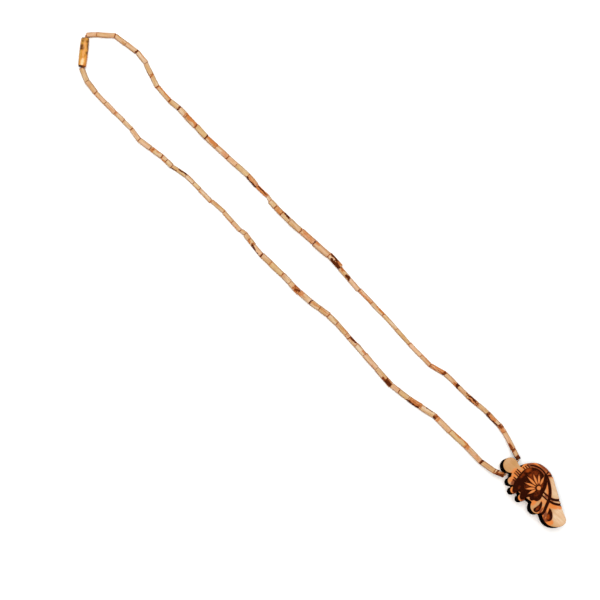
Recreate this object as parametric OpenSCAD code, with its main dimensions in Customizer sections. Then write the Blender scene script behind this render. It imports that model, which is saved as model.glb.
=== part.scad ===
// A string of drilled twig beads with a barrel bead at one end of the loop and a cut wooden
// pendant at the other. It lies on a flat surface: X is across the loop, +Y points from the
// pendant to the barrel bead, Z is up. The origin is on the surface, in the middle of its box.

/* [Beads] */
// Thickness of all beads, as a share of the charted one
bead_girth = 1; // [0.95:0.01:1.05]
// Diameter of the hole along each bead
bead_bore_d = 0.7; // [0.65:0.01:0.7]
// Clear gap between neighbouring beads
bead_gap = 0.14; // [0.12:0.01:0.2]
// Difference in length between neighbouring beads, as a share of it
length_spread = 0.16; // [0:0.01:0.2]
// Difference in diameter between the two ends of a bead, as a share of it
bead_taper = 0.05; // [0:0.01:0.06]
// How far a twig may lie to one side of its hole
hole_drift = 0.08; // [0:0.01:0.08]

/* [Thread] */
// Diameter of the thread
thread_d = 0.44; // [0.3:0.01:0.45]

/* [Barrel bead] */
// Diameter at the middle of the barrel bead
barrel_d = 3.25; // [2.9:0.05:3.3]
// Diameter of its two end faces
barrel_end_d = 2.5; // [2.2:0.05:2.5]
// Length of the rounding at each end
barrel_shoulder = 0.7; // [0.5:0.05:1]
// Diameter of the hole along it
barrel_bore_d = 1; // [0.9:0.05:1.1]

/* [Pendant] */
// Thickness of the wooden plate
plate_t = 5; // [4.6:0.05:5.2]
// Depth of the engraving
engraving_depth = 0.5; // [0.3:0.05:0.8]
// Diameter of the hole across the neck
neck_bore_d = 1.3; // [1:0.05:1.6]
// Slope of the plate, which lies on its right-hand edge
plate_tilt = 14; // [13:0.25:15]

/* [Hidden] */

// Sides of holes and beads, and of the rounds of the barrel bead and the pendant
round_fn = 32;
fine_fn = 64;
// Straight runs from one point of a curve to the next
curve_runs = 5;
thread_sides = 8;
// The widest that the thread gets on the outside of a sharp bend, as a share of its width
mitre_limit = 1.67;
// How far a cut runs past the faces that it goes through
through = 1;

// Middle of the necklace on the chart that the tables below use
chart_mid = [10.81, -0.58];

// Columns of the two strand tables. A row is a stretch of beads: where it ends, how many beads
// it has, their diameter, and how far the twigs lie to the right of their holes
X = 0;
Y = 1;
BEADS = 2;
GIRTH = 3;
DRIFT = 4;

left_strand = [
    [3.5, 115.1, 0, 2.15, 0],
    [1.5, 110.5, 1, 2.1, 0],
    [0.8, 105.3, 1, 2.05, 0],
    [0.5, 95.3, 2, 1.85, 0],
    [0.6, 86.8, 2, 1.7, 0.1],
    [-0.1, 82.1, 1, 1.85, 0],
    [1.4, 72.1, 2, 2.05, 0],
    [1.4, 67, 2, 2, 0],
    [2.6, 61, 1, 1.65, 0],
    [2.7, 54, 2, 1.65, 0],
    [2.6, 48, 1, 1.7, -0.15],
    [3, 42, 1, 1.6, 0.1],
    [2.5, 33, 2, 1.7, 0],
    [2.8, 30.8, 1, 1.7, 0.15],
    [2.1, 25.8, 2, 2, 0],
    [1.7, 21.3, 1, 1.9, 0],
    [2, 11, 2, 2.15, 0],
    [1.8, 2.2, 2, 2.2, 0],
    [2.2, -3.2, 1, 2.2, 0],
    [3.4, -11.2, 2, 2.2, 0],
    [3.5, -15.4, 1, 2.15, 0],
    [2.9, -26, 2, 1.95, -0.15],
    [2.5, -30.5, 1, 2.05, 0],
    [1.5, -45.1, 2, 2.15, 0],
    [2.5, -53, 2, 2.05, 0],
    [4.8, -63.8, 2, 2.3, 0],
    [4.7, -72, 1, 2.15, 0],
    [5.1, -80, 1, 2.25, 0],
    [4.9, -87.5, 1, 2.1, 0],
    [5.95, -93.5, 1, 2.05, 0],
    [7.3, -96.9, 1, 2, 0],
];
right_strand = [
    [12.95, 122.6, 0, 1.9, 0],
    [15.9, 119.9, 1, 1.9, 0],
    [20.4, 114.9, 1, 1.95, 0],
    [21.7, 105.2, 2, 1.9, 0],
    [21.2, 100, 1, 1.9, 0.1],
    [18.1, 91, 2, 1.9, -0.1],
    [17.6, 84.2, 1, 1.75, 0],
    [18.15, 79.9, 1, 2, 0],
    [17.95, 71, 2, 2.25, -0.12],
    [17.6, 65.5, 1, 2.2, 0],
    [18, 55, 2, 2.1, 0],
    [18.6, 45, 2, 2.05, 0],
    [18.2, 40.5, 1, 2.15, -0.15],
    [18.3, 35.1, 1, 1.55, 0],
    [17.8, 33, 1, 1.55, 0.05],
    [17.6, 26.8, 2, 2.15, -0.2],
    [17.6, 22.8, 1, 2.3, 0],
    [18.3, 11, 2, 2.35, 0],
    [18.8, 4, 1, 2.5, 0],
    [18.5, -2, 1, 2.45, 0.25],
    [17.8, -12.5, 2, 1.85, -0.2],
    [17.6, -25, 2, 1.65, 0],
    [16.8, -39.2, 2, 1.55, 0],
    [16.6, -50, 2, 1.65, 0],
    [18.2, -56, 1, 1.85, 0],
    [18.3, -67.3, 2, 1.75, 0],
    [19.1, -77, 2, 1.85, 0],
    [19, -83, 1, 1.9, 0],
    [18.4, -86.2, 1, 2, 0],
    [16.3, -92.7, 1, 1.9, 0],
    [15, -96.7, 1, 1.8, 0],
];
// Seeds of each strand's small differences, and what is added to them for tapers and holes
left_seed = 3;
right_seed = 8;
taper_seed = 40;
hole_seed = 60;
// Room kept between two beads on the inside of a bend
bend_room = 0.1;

// Both strands leave the surface below this line, and climb to the hole in the pendant's neck
lift_y = -81;
left_rise = 4;
right_rise = 2.75;

// The barrel bead's middle is thicker than its shoulders by twice this, and its shoulders are
// rounded from this share of the way up and along
barrel_swell = 0.12;
barrel_round_up = 0.7;
barrel_round_along = 0.35;
// It lies this far above the surface
barrel_clear = 0.005;
// The thread turns a sharp corner above the barrel bead's top end. These are the distances along
// it from the two strands' first joints to the barrel bead and to the first beads
barrel_low_setback = 0.35;
barrel_top_setback = 1;
low_bead_setback = 0.35;
top_bead_setback = 0.4;
// The hole along the barrel bead runs this high above the surface
barrel_bore_z = 1.15;
// Distance from the last joint of each strand, beside the pendant, to its last bead
last_setback = 0.38;

// The pendant's own axes start at the middle of its neck hole: u to the right, v up its face
neck_at = [11.2, -95.95];
plate_right_u = 8.4;
neck_bore_v = -0.8;
thread_exit_u = 3.1;
neck_z = plate_right_u * sin(plate_tilt) + plate_t / 2 * cos(plate_tilt);

// Right side of the face, from the neck down to the tip and up the left side to the big scallop
blade_edge = [
    [2.25, -0.8], [2.05, -1.9], [1.95, -2.7], [2.5, -2.8], [3.2, -2.65], [4.1, -3.05], [5.05, -3.75],
    [6.6, -5.1], [7.8, -6.9], [8.35, -9.2], [8.3, -11.6],
    [7.7, -13.7], [5.5, -17.6], [2.9, -22], [1.6, -24.3], [0.75, -26.1], [-0.05, -27.6],
    [-1.35, -28.25], [-3.1, -27.9], [-4.6, -26.7], [-5.8, -24.9], [-6.2, -23.1], [-5.85, -21.3],
    [-5, -19.8],
];
// Columns of the table of rounds: the lobe at the top and the scallops down the left side
MIDDLE = 0;
RADIUS = 1;
rounds = [
    [[-0.2, 0.45], 2.8],
    [[-4.1, -3.7], 1.5],
    [[-5.9, -6.5], 1.35],
    [[-5.9, -10.4], 1.35],
    [[-4.2, -16.7], 2.5],
];
// Left side behind the scallops, from the big one up to the neck
blade_left = [[-4.6, -17], [-4.4, -13.6], [-5.2, -10], [-5.2, -6.6], [-4.2, -3.2], [-2.05, -1.8]];

// Engraved round field and the arc beside it: middle, radii, angles
field_at = [1.15, -9.2];
field_r = 5.05;
arc_inner_r = 5.4;
arc_outer_r = 5.95;
arc_from = -20;
arc_to = 50;
arc_runs = 14;

// Columns of the table of engraved strokes: width at the middle, points that the stroke follows.
// The ends have this share of the width
stroke_end = 0.7;
STROKE_W = 0;
STROKE_PATH = 1;
strokes = [
    [1.15, [
        [6.6, -11.2], [5.7, -13.1], [4.5, -14.9], [3.2, -16.4], [1.6, -17.7], [0, -18.4],
        [-2, -19.1], [-3.8, -19.75], [-5.6, -19.55]]],
    [0.95, [[6.5, -10.9], [5, -12.7], [3.4, -13.8], [1.8, -14.4], [0.2, -14.8]]],
    [0.5, [[0.1, -14.2], [0.1, -16.2], [0.25, -18.3]]],
    [0.55, [[1.35, -14.2], [1.3, -15.6], [1.5, -17.3]]],
    [0.85, [[0.4, -18.2], [1.05, -20.4], [2.8, -23]]],
    [0.9, [[1.3, -17.7], [2.1, -19.6], [3.9, -21.6]]],
    [0.4, [[6.4, -11.1], [7.4, -11.2], [8.6, -11]]],
    [0.5, [[6.3, -11.7], [7.2, -12.3], [8, -13.5]]],
];
// Engraved patches, each a closed outline
upper_drop = [
    [-6.2, -16.9], [-5.6, -16.3], [-4.5, -16.5], [-3.2, -16.7], [-1.7, -16.5], [-2.1, -17.3],
    [-3.2, -18], [-4.7, -18.3], [-5.8, -17.9],
];
lower_drop = [
    [-1.35, -20.4], [-2.4, -20.8], [-3.9, -21.4], [-5, -22.2], [-5.1, -23.1], [-4.2, -23.7],
    [-3.1, -23.4], [-2.1, -22.5], [-1.5, -21.5],
];
field_left = [
    [-5.9, -5.9], [-4.7, -5.1], [-3.2, -4.55], [-1.4, -4.35], [0.4, -4.4], [1, -7], [1, -10],
    [1.4, -13], [0.9, -14.9], [-0.3, -15.5], [-1.7, -15.7], [-2.9, -15.2], [-3.3, -14.3],
    [-4.05, -13.7], [-4.1, -12.9], [-3.7, -12.3], [-4.4, -11.7], [-5.6, -11.5],
    [-6.4, -10.9], [-6.4, -10.1], [-5.9, -9.5], [-5, -9.1], [-4.9, -8.3], [-5.8, -7.8],
    [-6.6, -7.3], [-6.5, -6.5],
];

// Columns of the table of combs of short cuts: top of the first and last cut, length, cuts
COMB_FIRST = 0;
COMB_LAST = 1;
CUT_L = 2;
CUTS = 3;
comb_cut_w = 0.4;
combs = [
    [[-3.35, -3.6], [-2.5, -3.2], 1.4, 2],
    [[-1.25, -2.35], [0.4, -2.2], 2.3, 3],
    [[2.45, -3.2], [4.2, -3.75], 1.4, 3],
];

// Half lotus left standing in the field: middle of its foot, petals, their fan, length and width
lotus_foot = [1.15, -12.6];
lotus_petals = 7;
lotus_fan = 144;
lotus_start = 1.1;
lotus_boss_r = 0.8;
lotus_middle_l = 4.9;
lotus_side_l = 3.7;
lotus_petal_w = 0.85;
petal_runs = 8;
petal_lean = 0.85;

// Plain helpers

function mix(a, b, t) = a + (b - a) * t;
function vary(seed, i) = let (v = sin(i * 127.1 + seed * 311.7) * 43758.5) (v - floor(v)) * 2 - 1;
function sum_to(v, n) = n <= 0 ? 0 : v[n - 1] + sum_to(v, n - 1);
function turned_back(v) = [for (i = [len(v) - 1 : -1 : 0]) v[i]];
function along(a, b) = (b - a) / norm(b - a);
function to_side(d) = [-d.y, d.x, 0] / norm([d.x, d.y]);

module in_place() { translate([-chart_mid.x, -chart_mid.y, 0]) children(); }

// Puts a child that stands on Z along the line from a to b
module stand_on(a, b) {
    d = along(a, b);
    translate(a) rotate([0, acos(d.z), atan2(d.y, d.x)]) children();
}

// Strands: joints are where the thread passes from bead to bead

function lengths(seed, n) = [for (i = [0 : n - 1]) 1 + length_spread * vary(seed, i)];
function stretch(a, b, seed) =
    let (w = lengths(seed, b[BEADS]), whole = sum_to(w, b[BEADS]))
    [for (i = [1 : b[BEADS]]) mix([a[X], a[Y]], [b[X], b[Y]], sum_to(w, i) / whole)];
function flat_joints(table, seed) =
    [[table[0][X], table[0][Y]],
        for (k = [1 : len(table) - 1]) each stretch(table[k - 1], table[k], seed + k)];
function radii(table) = [for (row = table) for (i = [1 : 1 : row[BEADS]]) row[GIRTH] * bead_girth / 2];
function drifts(table) = [for (row = table) for (i = [1 : 1 : row[BEADS]]) row[DRIFT]];

function lift(y, table, rise) =
    rise * pow(max(0, (lift_y - y) / (lift_y - table[len(table) - 1][Y])), 2);
function joints(table, seed, rise) =
    let (p = flat_joints(table, seed), r = radii(table), n = len(r))
    [for (i = [0 : n]) [p[i].x, p[i].y,
        i == 0 ? barrel_bore_z : (r[i - 1] + r[min(i, n - 1)]) / 2 + lift(p[i].y, table, rise)]];

function turn_at(j, i) =
    i == 0 || i == len(j) - 1 ? 0 : acos(min(1, along(j[i - 1], j[i]) * along(j[i], j[i + 1])));
function setback(j, i, r) =
    bead_gap / 2 + (r * (1 + bead_taper) + bend_room) * tan(turn_at(j, i) / 2);

// A bead between joints a and b, whose ends are set back and raised by what the pairs say, with
// an end radius each, its twig lying to one side of the straight hole
module bead(a, b, set, raised, r, aside) {
    d = along(a, b);
    whole = norm(b - a);
    lie = to_side(d) * aside;
    ends = [for (f = [set[0] / whole, 1 - set[1] / whole]) mix(a, b, f)];
    heights = [for (k = [0, 1]) r[k] + mix(raised[0], raised[1], abs(k - set[k] / whole))];
    low = [ends[0].x, ends[0].y, heights[0]] + lie;
    high = [ends[1].x, ends[1].y, heights[1]] + lie;
    difference() {
        stand_on(low, high) cylinder(h = norm(high - low), r1 = r[0], r2 = r[1], $fn = round_fn);
        stand_on(a - d * through, b) cylinder(h = whole + 2 * through, d = bead_bore_d, $fn = round_fn);
    }
}

module strand(table, seed, rise, first_setback) {
    j = joints(table, seed, rise);
    r = radii(table);
    side = drifts(table);
    n = len(r);
    for (i = [0 : n - 1]) {
        set_low = i == 0 ? first_setback : setback(j, i, r[i]);
        set_high = i == n - 1 ? last_setback : setback(j, i + 1, r[i]);
        taper = bead_taper * vary(seed + taper_seed, i);
        bead(j[i], j[i + 1], [set_low, set_high],
            [lift(j[i].y, table, rise), lift(j[i + 1].y, table, rise)],
            r[i] * [1 + taper, 1 - taper],
            side[i] + hole_drift * vary(seed + hole_seed, i));
    }
}

module beads_left() {
    color([0.86, 0.70, 0.49]) in_place()
        strand(left_strand, left_seed, left_rise, low_bead_setback);
}

module beads_right() {
    color([0.83, 0.66, 0.46]) in_place()
        strand(right_strand, right_seed, right_rise, top_bead_setback);
}

// Thread: one closed tube through every hole

function pendant_point(u, w) = [
    neck_at.x + u * cos(plate_tilt) + w * sin(plate_tilt),
    neck_at.y + neck_bore_v,
    neck_z - u * sin(plate_tilt) + w * cos(plate_tilt)];
left_joints = joints(left_strand, left_seed, left_rise);
right_joints = joints(right_strand, right_seed, right_rise);
thread_route = concat(
    [pendant_point(-thread_exit_u, 0)], turned_back(left_joints),
    right_joints, [pendant_point(thread_exit_u, 0)]);

function ring(route, i) =
    let (n = len(route), p = route[i], d_in = along(route[(i + n - 1) % n], p),
        d_out = along(p, route[(i + 1) % n]), t = along([0, 0, 0], d_in + d_out),
        side = cross(t, [0, 0, 1]) / norm(cross(t, [0, 0, 1])), up = cross(side, t),
        widen = min(mitre_limit, 1 / (d_in * t)), r = thread_d / 2)
    [for (k = [0 : thread_sides - 1]) let (a = 360 * k / thread_sides)
        p + r * (cos(a) * widen * side + sin(a) * up)];

module closed_tube(route) {
    n = len(route);
    m = thread_sides;
    points = [for (i = [0 : n - 1]) each ring(route, i)];
    faces = [for (i = [0 : n - 1]) for (k = [0 : m - 1])
        let (a = i * m + k, b = i * m + (k + 1) % m,
            c = ((i + 1) % n) * m + (k + 1) % m, d = ((i + 1) % n) * m + k)
        each [[a, b, c], [a, c, d]]];
    polyhedron(points = points, faces = faces, convexity = 10);
}

module thread() {
    color([0.62, 0.50, 0.36]) in_place() closed_tube(thread_route);
}

// Barrel bead: turned, slightly fuller in the middle, with rounded shoulders

barrel_r = barrel_d / 2;
function barrel_half() =
    let (end_r = barrel_end_d / 2, shoulder_r = barrel_r - barrel_swell)
    [[0, 0], [end_r, 0],
        [mix(end_r, shoulder_r, barrel_round_up), barrel_shoulder * barrel_round_along],
        [shoulder_r, barrel_shoulder]];
function barrel_profile(l) = concat(
    barrel_half(), [[barrel_r, l * 0.4], [barrel_r, l * 0.6]],
    [for (p = turned_back(barrel_half())) [p.x, l - p.y]]);

module clasp_barrel() {
    low = left_joints[0];
    top = right_joints[0];
    d = along(low, top);
    raised = [0, 0, barrel_r + barrel_clear - barrel_bore_z];
    start = low + d * barrel_low_setback + raised;
    end = top - d * barrel_top_setback + raised;
    color([0.84, 0.62, 0.28]) in_place()
        difference() {
            stand_on(start, end)
                rotate_extrude($fn = fine_fn) polygon(barrel_profile(norm(end - start)));
            stand_on(low - d * through, top)
                cylinder(h = norm(top - low) + 2 * through, d = barrel_bore_d, $fn = round_fn);
        }
}

// Pendant

// A curve that passes through all its points, between the point i and the next one
function curve_at(p, i, t) =
    let (n = len(p), a = p[max(i - 1, 0)], b = p[i], c = p[min(i + 1, n - 1)], d = p[min(i + 2, n - 1)])
    b + (c - a) * t / 2 + (2 * a - 5 * b + 4 * c - d) * t * t / 2
        + (3 * b - a - 3 * c + d) * t * t * t / 2;
function smooth(p) = [
    for (i = [0 : len(p) - 2]) for (k = [0 : curve_runs - 1]) curve_at(p, i, k / curve_runs),
    p[len(p) - 1]];
function closed(p) =
    let (n = len(p))
    [for (i = [0 : n - 1]) for (k = [0 : curve_runs - 1])
        curve_at([p[(i + n - 1) % n], p[i], p[(i + 1) % n], p[(i + 2) % n]], 1, k / curve_runs)];

function heading(q, i) = along(q[max(i - 1, 0)], q[min(i + 1, len(q) - 1)]);
function beside(q, i, w) = q[i] + w * [-heading(q, i).y, heading(q, i).x];

// A stroke of width w along a curve, narrower at both ends
module stroke(w, p) {
    q = smooth(p);
    n = len(q) - 1;
    half = [for (i = [0 : n]) w / 2 * mix(stroke_end, 1, sqrt(sin(180 * i / n)))];
    polygon([for (i = [0 : n]) beside(q, i, half[i]), for (i = [n : -1 : 0]) beside(q, i, -half[i])]);
}

module disc(at, r) { translate(at) circle(r = r, $fn = fine_fn); }

module plate() {
    translate([0, 0, -plate_t / 2]) {
        linear_extrude(plate_t) polygon(concat(smooth(blade_edge), blade_left));
        for (part = rounds)
            translate(part[MIDDLE]) cylinder(h = plate_t, r = part[RADIUS], $fn = fine_fn);
    }
}

module arc_groove() {
    bearings = [for (k = [0 : arc_runs]) mix(arc_from, arc_to, k / arc_runs)];
    polygon([
        for (a = bearings) field_at + arc_outer_r * [cos(a), sin(a)],
        for (a = turned_back(bearings)) field_at + arc_inner_r * [cos(a), sin(a)],
    ]);
}

module comb(row) {
    for (i = [0 : row[CUTS] - 1]) {
        top = mix(row[COMB_FIRST], row[COMB_LAST], i / (row[CUTS] - 1));
        translate([top.x - comb_cut_w / 2, top.y - row[CUT_L]]) square([comb_cut_w, row[CUT_L]]);
    }
}

// One petal along +Y from its foot, widest a little below its middle
module petal(l, w) {
    rim = [for (k = [0 : petal_runs])
        let (t = k / petal_runs) [w / 2 * sin(180 * pow(t, petal_lean)), l * t]];
    polygon([for (p = rim) p, for (k = [petal_runs - 1 : -1 : 1]) [-rim[k].x, rim[k].y]]);
}

module half_lotus() {
    disc(lotus_foot, lotus_boss_r);
    translate(lotus_foot)
        for (i = [0 : lotus_petals - 1]) {
            f = mix(-1, 1, i / (lotus_petals - 1));
            petal_l = mix(lotus_middle_l, lotus_side_l, abs(f));
            rotate(-f * lotus_fan / 2) translate([0, lotus_start]) petal(petal_l, lotus_petal_w);
        }
}

module engraving() {
    difference() {
        union() {
            disc(field_at, field_r);
            polygon(closed(field_left));
        }
        half_lotus();
    }
    arc_groove();
    polygon(closed(upper_drop));
    polygon(closed(lower_drop));
    for (row = strokes) stroke(row[STROKE_W], row[STROKE_PATH]);
    for (row = combs) comb(row);
}

module pendant() {
    color([0.85, 0.66, 0.42]) in_place() translate([neck_at.x, neck_at.y, neck_z])
        rotate([0, plate_tilt, 0])
            difference() {
                plate();
                translate([0, 0, plate_t / 2 - engraving_depth]) linear_extrude(plate_t) engraving();
                translate([0, neck_bore_v, 0]) rotate([0, 90, 0])
                    cylinder(h = 4 * thread_exit_u, d = neck_bore_d, center = true, $fn = round_fn);
            }
}

beads_left();
beads_right();
thread();
clasp_barrel();
pendant();
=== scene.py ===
"""Dresses a string of twig beads and its burnt wooden pendant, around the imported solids.

Lengths inside the script are millimetres in the part's own axes, and meshes are written in metres.
"""

import math
from collections import namedtuple

import bpy
import numpy as np
from bpy.props import FloatProperty, FloatVectorProperty, IntProperty, PointerProperty
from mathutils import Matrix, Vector
from mathutils.geometry import delaunay_2d_cdt


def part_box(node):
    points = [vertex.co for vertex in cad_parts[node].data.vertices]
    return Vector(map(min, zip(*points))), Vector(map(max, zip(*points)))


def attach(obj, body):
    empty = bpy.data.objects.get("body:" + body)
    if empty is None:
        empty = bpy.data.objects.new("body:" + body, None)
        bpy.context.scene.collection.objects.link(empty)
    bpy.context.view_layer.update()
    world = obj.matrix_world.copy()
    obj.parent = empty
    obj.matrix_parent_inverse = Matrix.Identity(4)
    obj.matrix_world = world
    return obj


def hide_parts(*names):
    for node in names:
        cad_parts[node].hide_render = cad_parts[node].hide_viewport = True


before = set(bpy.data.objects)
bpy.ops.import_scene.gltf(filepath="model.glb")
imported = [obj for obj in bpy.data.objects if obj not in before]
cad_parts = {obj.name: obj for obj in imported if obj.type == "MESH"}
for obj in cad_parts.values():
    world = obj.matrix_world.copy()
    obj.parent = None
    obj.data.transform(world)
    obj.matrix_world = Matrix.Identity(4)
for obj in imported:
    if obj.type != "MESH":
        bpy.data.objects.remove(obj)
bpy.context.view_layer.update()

bl_info = {
    "name": "Twig bead string",
    "version": (1, 0, 0),
    "blender": (4, 5, 0),
    "location": "3D View > Sidebar > Bead string",
    "description": "Builds the beads, thread, barrel bead and pendant of a bead string",
    "category": "Object",
}

MM = 0.001
UP = np.array([0.0, 0.0, 1.0])
# Middle of the necklace on the chart that the tables below use, in mm
CHART_MID = np.array([10.81, -0.58])
LEFT, RIGHT = "beads_left", "beads_right"

# Stains on the two strands, as they show from above. Each row: upper end and lower end on the
# chart, where across the bead (-1 is its left edge, 1 its right edge), half width as a share of
# the bead's radius, how charred, how orange
Stain = namedtuple("Stain", "upper lower across reach char amber")
STAINS = {
    LEFT: [
        (98.6, 95.6, 0.1, 0.5, 0, 0.4), (95.6, 94.4, 0.2, 0.9, 0.25, 0.8), (76.6, 75.5, 0.1, 1.2, 0.35, 1),
        (75.5, 72.2, 0.6, 0.35, 0.1, 0.6), (71.5, 69.6, -0.6, 0.5, 0.15, 0.9),
        (66.8, 65.0, -0.6, 0.26, 1, 0.4), (64.6, 60.9, 0.6, 0.32, 0.95, 0.7), (57, 50, -0.8, 0.25, 0, 0.6),
        (48.6, 47.6, -0.5, 0.7, 0.3, 0.8), (42, 34, -0.8, 0.25, 0.15, 0.7),
        (28.6, 27.4, -0.3, 0.7, 0.25, 1), (26.2, 24.0, -0.65, 0.5, 1, 0.7),
        (24.0, 22.7, -0.8, 0.25, 0.85, 0.7), (5.2, 2.1, 0, 1.3, 0.45, 1), (3.9, 2.2, 0.1, 0.7, 0.7, 1),
        (2.1, 0.6, 0, 1.2, 0, 0.75), (-3.6, -11.2, 0.15, 0.14, 0.3, 1), (-18, -22, 0.6, 0.4, 0, 0.5),
        (-22.2, -24.8, 0.55, 0.5, 0.8, 1), (-24.5, -26.4, 0.75, 0.25, 0.45, 1),
        (-28.5, -31, 0.4, 0.4, 0.15, 0.8), (-35.2, -38.6, -0.8, 0.24, 0.55, 0.7),
        (-40.4, -42.6, -0.5, 0.5, 0.6, 1), (-42.0, -45.0, -0.1, 0.85, 0.85, 1),
        (-53.2, -58.4, -0.8, 0.42, 1, 0.9), (-53.2, -58.0, -0.1, 0.5, 0.4, 1),
        (-53.2, -58.6, 0.8, 0.3, 0.1, 0.9), (-59.3, -62, 0.85, 0.28, 0.9, 0.5),
        (-64.0, -65.0, -0.6, 0.5, 0.8, 1), (-65.4, -66.4, 0, 1.1, 0.1, 1),
        (-72.8, -81, 0.7, 0.35, 0.1, 0.8), (-79, -81.2, 0.2, 0.9, 0.15, 0.8),
        (-84, -87.4, 0.1, 0.7, 0.05, 0.5), (-93.8, -97.6, -0.4, 0.7, 0.75, 1),
        (-94.4, -97.6, 0.4, 0.6, 0.35, 1),
    ],
    RIGHT: [
        (123, 115, -0.75, 0.35, 0, 0.35), (104.5, 100.5, 0.6, 0.3, 0.1, 0.6),
        (91, 84.6, 0.65, 0.35, 0.1, 0.8), (84.7, 83.9, 0.1, 1.4, 0.5, 0.9), (76.5, 71, 0.4, 0.6, 0.2, 1),
        (65.3, 60.6, 0.35, 0.7, 0.25, 1), (57.5, 54.8, 0.1, 0.9, 0.05, 0.6),
        (45.3, 40.5, -0.75, 0.42, 1, 0.7), (44.5, 40.5, 0.1, 0.7, 0.05, 0.65), (40.6, 35, 0, 1.2, 0.15, 1),
        (40, 35.4, 0.25, 0.35, 0.8, 1), (30.0, 27, 0, 0.9, 0.05, 0.65), (26.8, 23, 0.65, 0.38, 0.9, 0.9),
        (17.4, 11, 0, 1.0, 0, 0.6), (16.5, 12, 0.05, 0.12, 0.1, 1), (11.3, 10.6, -0.1, 1.5, 0.56, 0.7),
        (10.8, 9.2, 0.6, 0.5, 0.25, 0.9), (4.0, 0, 0.7, 0.36, 0.85, 0.9), (2.0, -1.9, -0.4, 0.6, 1, 0.9),
        (1.6, -2.0, 0.5, 0.6, 0.35, 1), (-2.4, -3.9, 0.3, 0.5, 0.45, 1), (-5.5, -7.4, 0, 0.6, 0.9, 0.8),
        (-13.4, -18.6, -0.4, 0.45, 0.1, 0.75), (-22, -25, 0.45, 0.6, 0.25, 1),
        (-45.3, -50, 0.5, 0.5, 0, 0.5), (-50, -55.6, -0.35, 0.3, 0.45, 1), (-51, -56, 0.5, 0.4, 0.1, 0.9),
        (-55.0, -56.2, -0.2, 1.2, 0.7, 0.9), (-60.4, -63.0, -0.1, 0.6, 0.4, 1),
        (-61.6, -63.0, 0, 1.3, 0.85, 0.9), (-67.2, -71.6, 0.2, 0.9, 0.1, 1),
        (-67.2, -71.6, 0.4, 0.42, 0.95, 0.9), (-67.2, -71.8, -0.8, 0.28, 0.75, 0.9),
        (-77, -83, -0.8, 0.38, 1, 0.9), (-77.5, -81, 0.1, 0.5, 0.2, 1), (-83, -84.6, 0.3, 0.9, 0.65, 1),
        (-84.4, -86, -0.1, 0.7, 0.2, 1), (-90, -92.6, -0.4, 0.6, 0.55, 1),
        (-95.2, -97.2, -0.1, 1.2, 0.85, 0.9),
    ],
}
# Burnt rings right round a twig. Each row: upper end and lower end, how charred, how orange
BANDS = {
    LEFT: [
        (105.45, 105.0, 0.36, 0.7), (87.0, 86.6, 0.33, 0.6), (82.4, 81.9, 0.4, 0.9),
        (72.3, 71.6, 0.48, 0.9), (26.7, 26.0, 0.44, 0.8), (21.7, 20.9, 0.65, 0.9), (17.0, 16.6, 0.29, 0.7),
        (11.4, 10.7, 0.4, 0.8), (-2.9, -3.5, 0.69, 0.8), (-11.0, -11.5, 0.4, 0.8),
        (-15.3, -15.8, 0.33, 0.7), (-22.0, -22.6, 0.56, 0.8), (-64.0, -65.2, 0.42, 1),
        (-87.6, -88.2, 0.81, 0.6), (-93.7, -94.4, 0.65, 0.8),
    ],
    RIGHT: [
        (105.6, 104.9, 0.69, 0.6), (95.7, 94.9, 0.48, 0.9), (91.2, 90.5, 0.25, 0.7),
        (80.5, 79.7, 0.69, 0.8), (77.0, 76.4, 0.4, 0.9), (71.5, 70.7, 0.48, 0.9), (66.0, 65.3, 0.69, 0.7),
        (55.2, 54.6, 0.44, 0.9), (30.4, 29.8, 0.44, 0.8), (27.1, 26.6, 0.48, 0.8), (17.9, 17.2, 0.4, 0.8),
        (4.3, 3.7, 0.4, 0.8), (-12.4, -13.0, 0.4, 0.9), (-18.6, -19.2, 0.29, 0.8), (-24.8, -25.4, 0.4, 0.7),
        (-39.2, -39.8, 0.33, 0.7), (-49.8, -50.5, 0.36, 0.9), (-71.4, -72.3, 0.4, 0.8),
        (-76.9, -77.8, 0.56, 0.9), (-92.6, -93.3, 0.6, 0.8),
    ],
}
# Half width of such a ring, as a share of the bead's radius
BAND_REACH = 1.5

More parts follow.
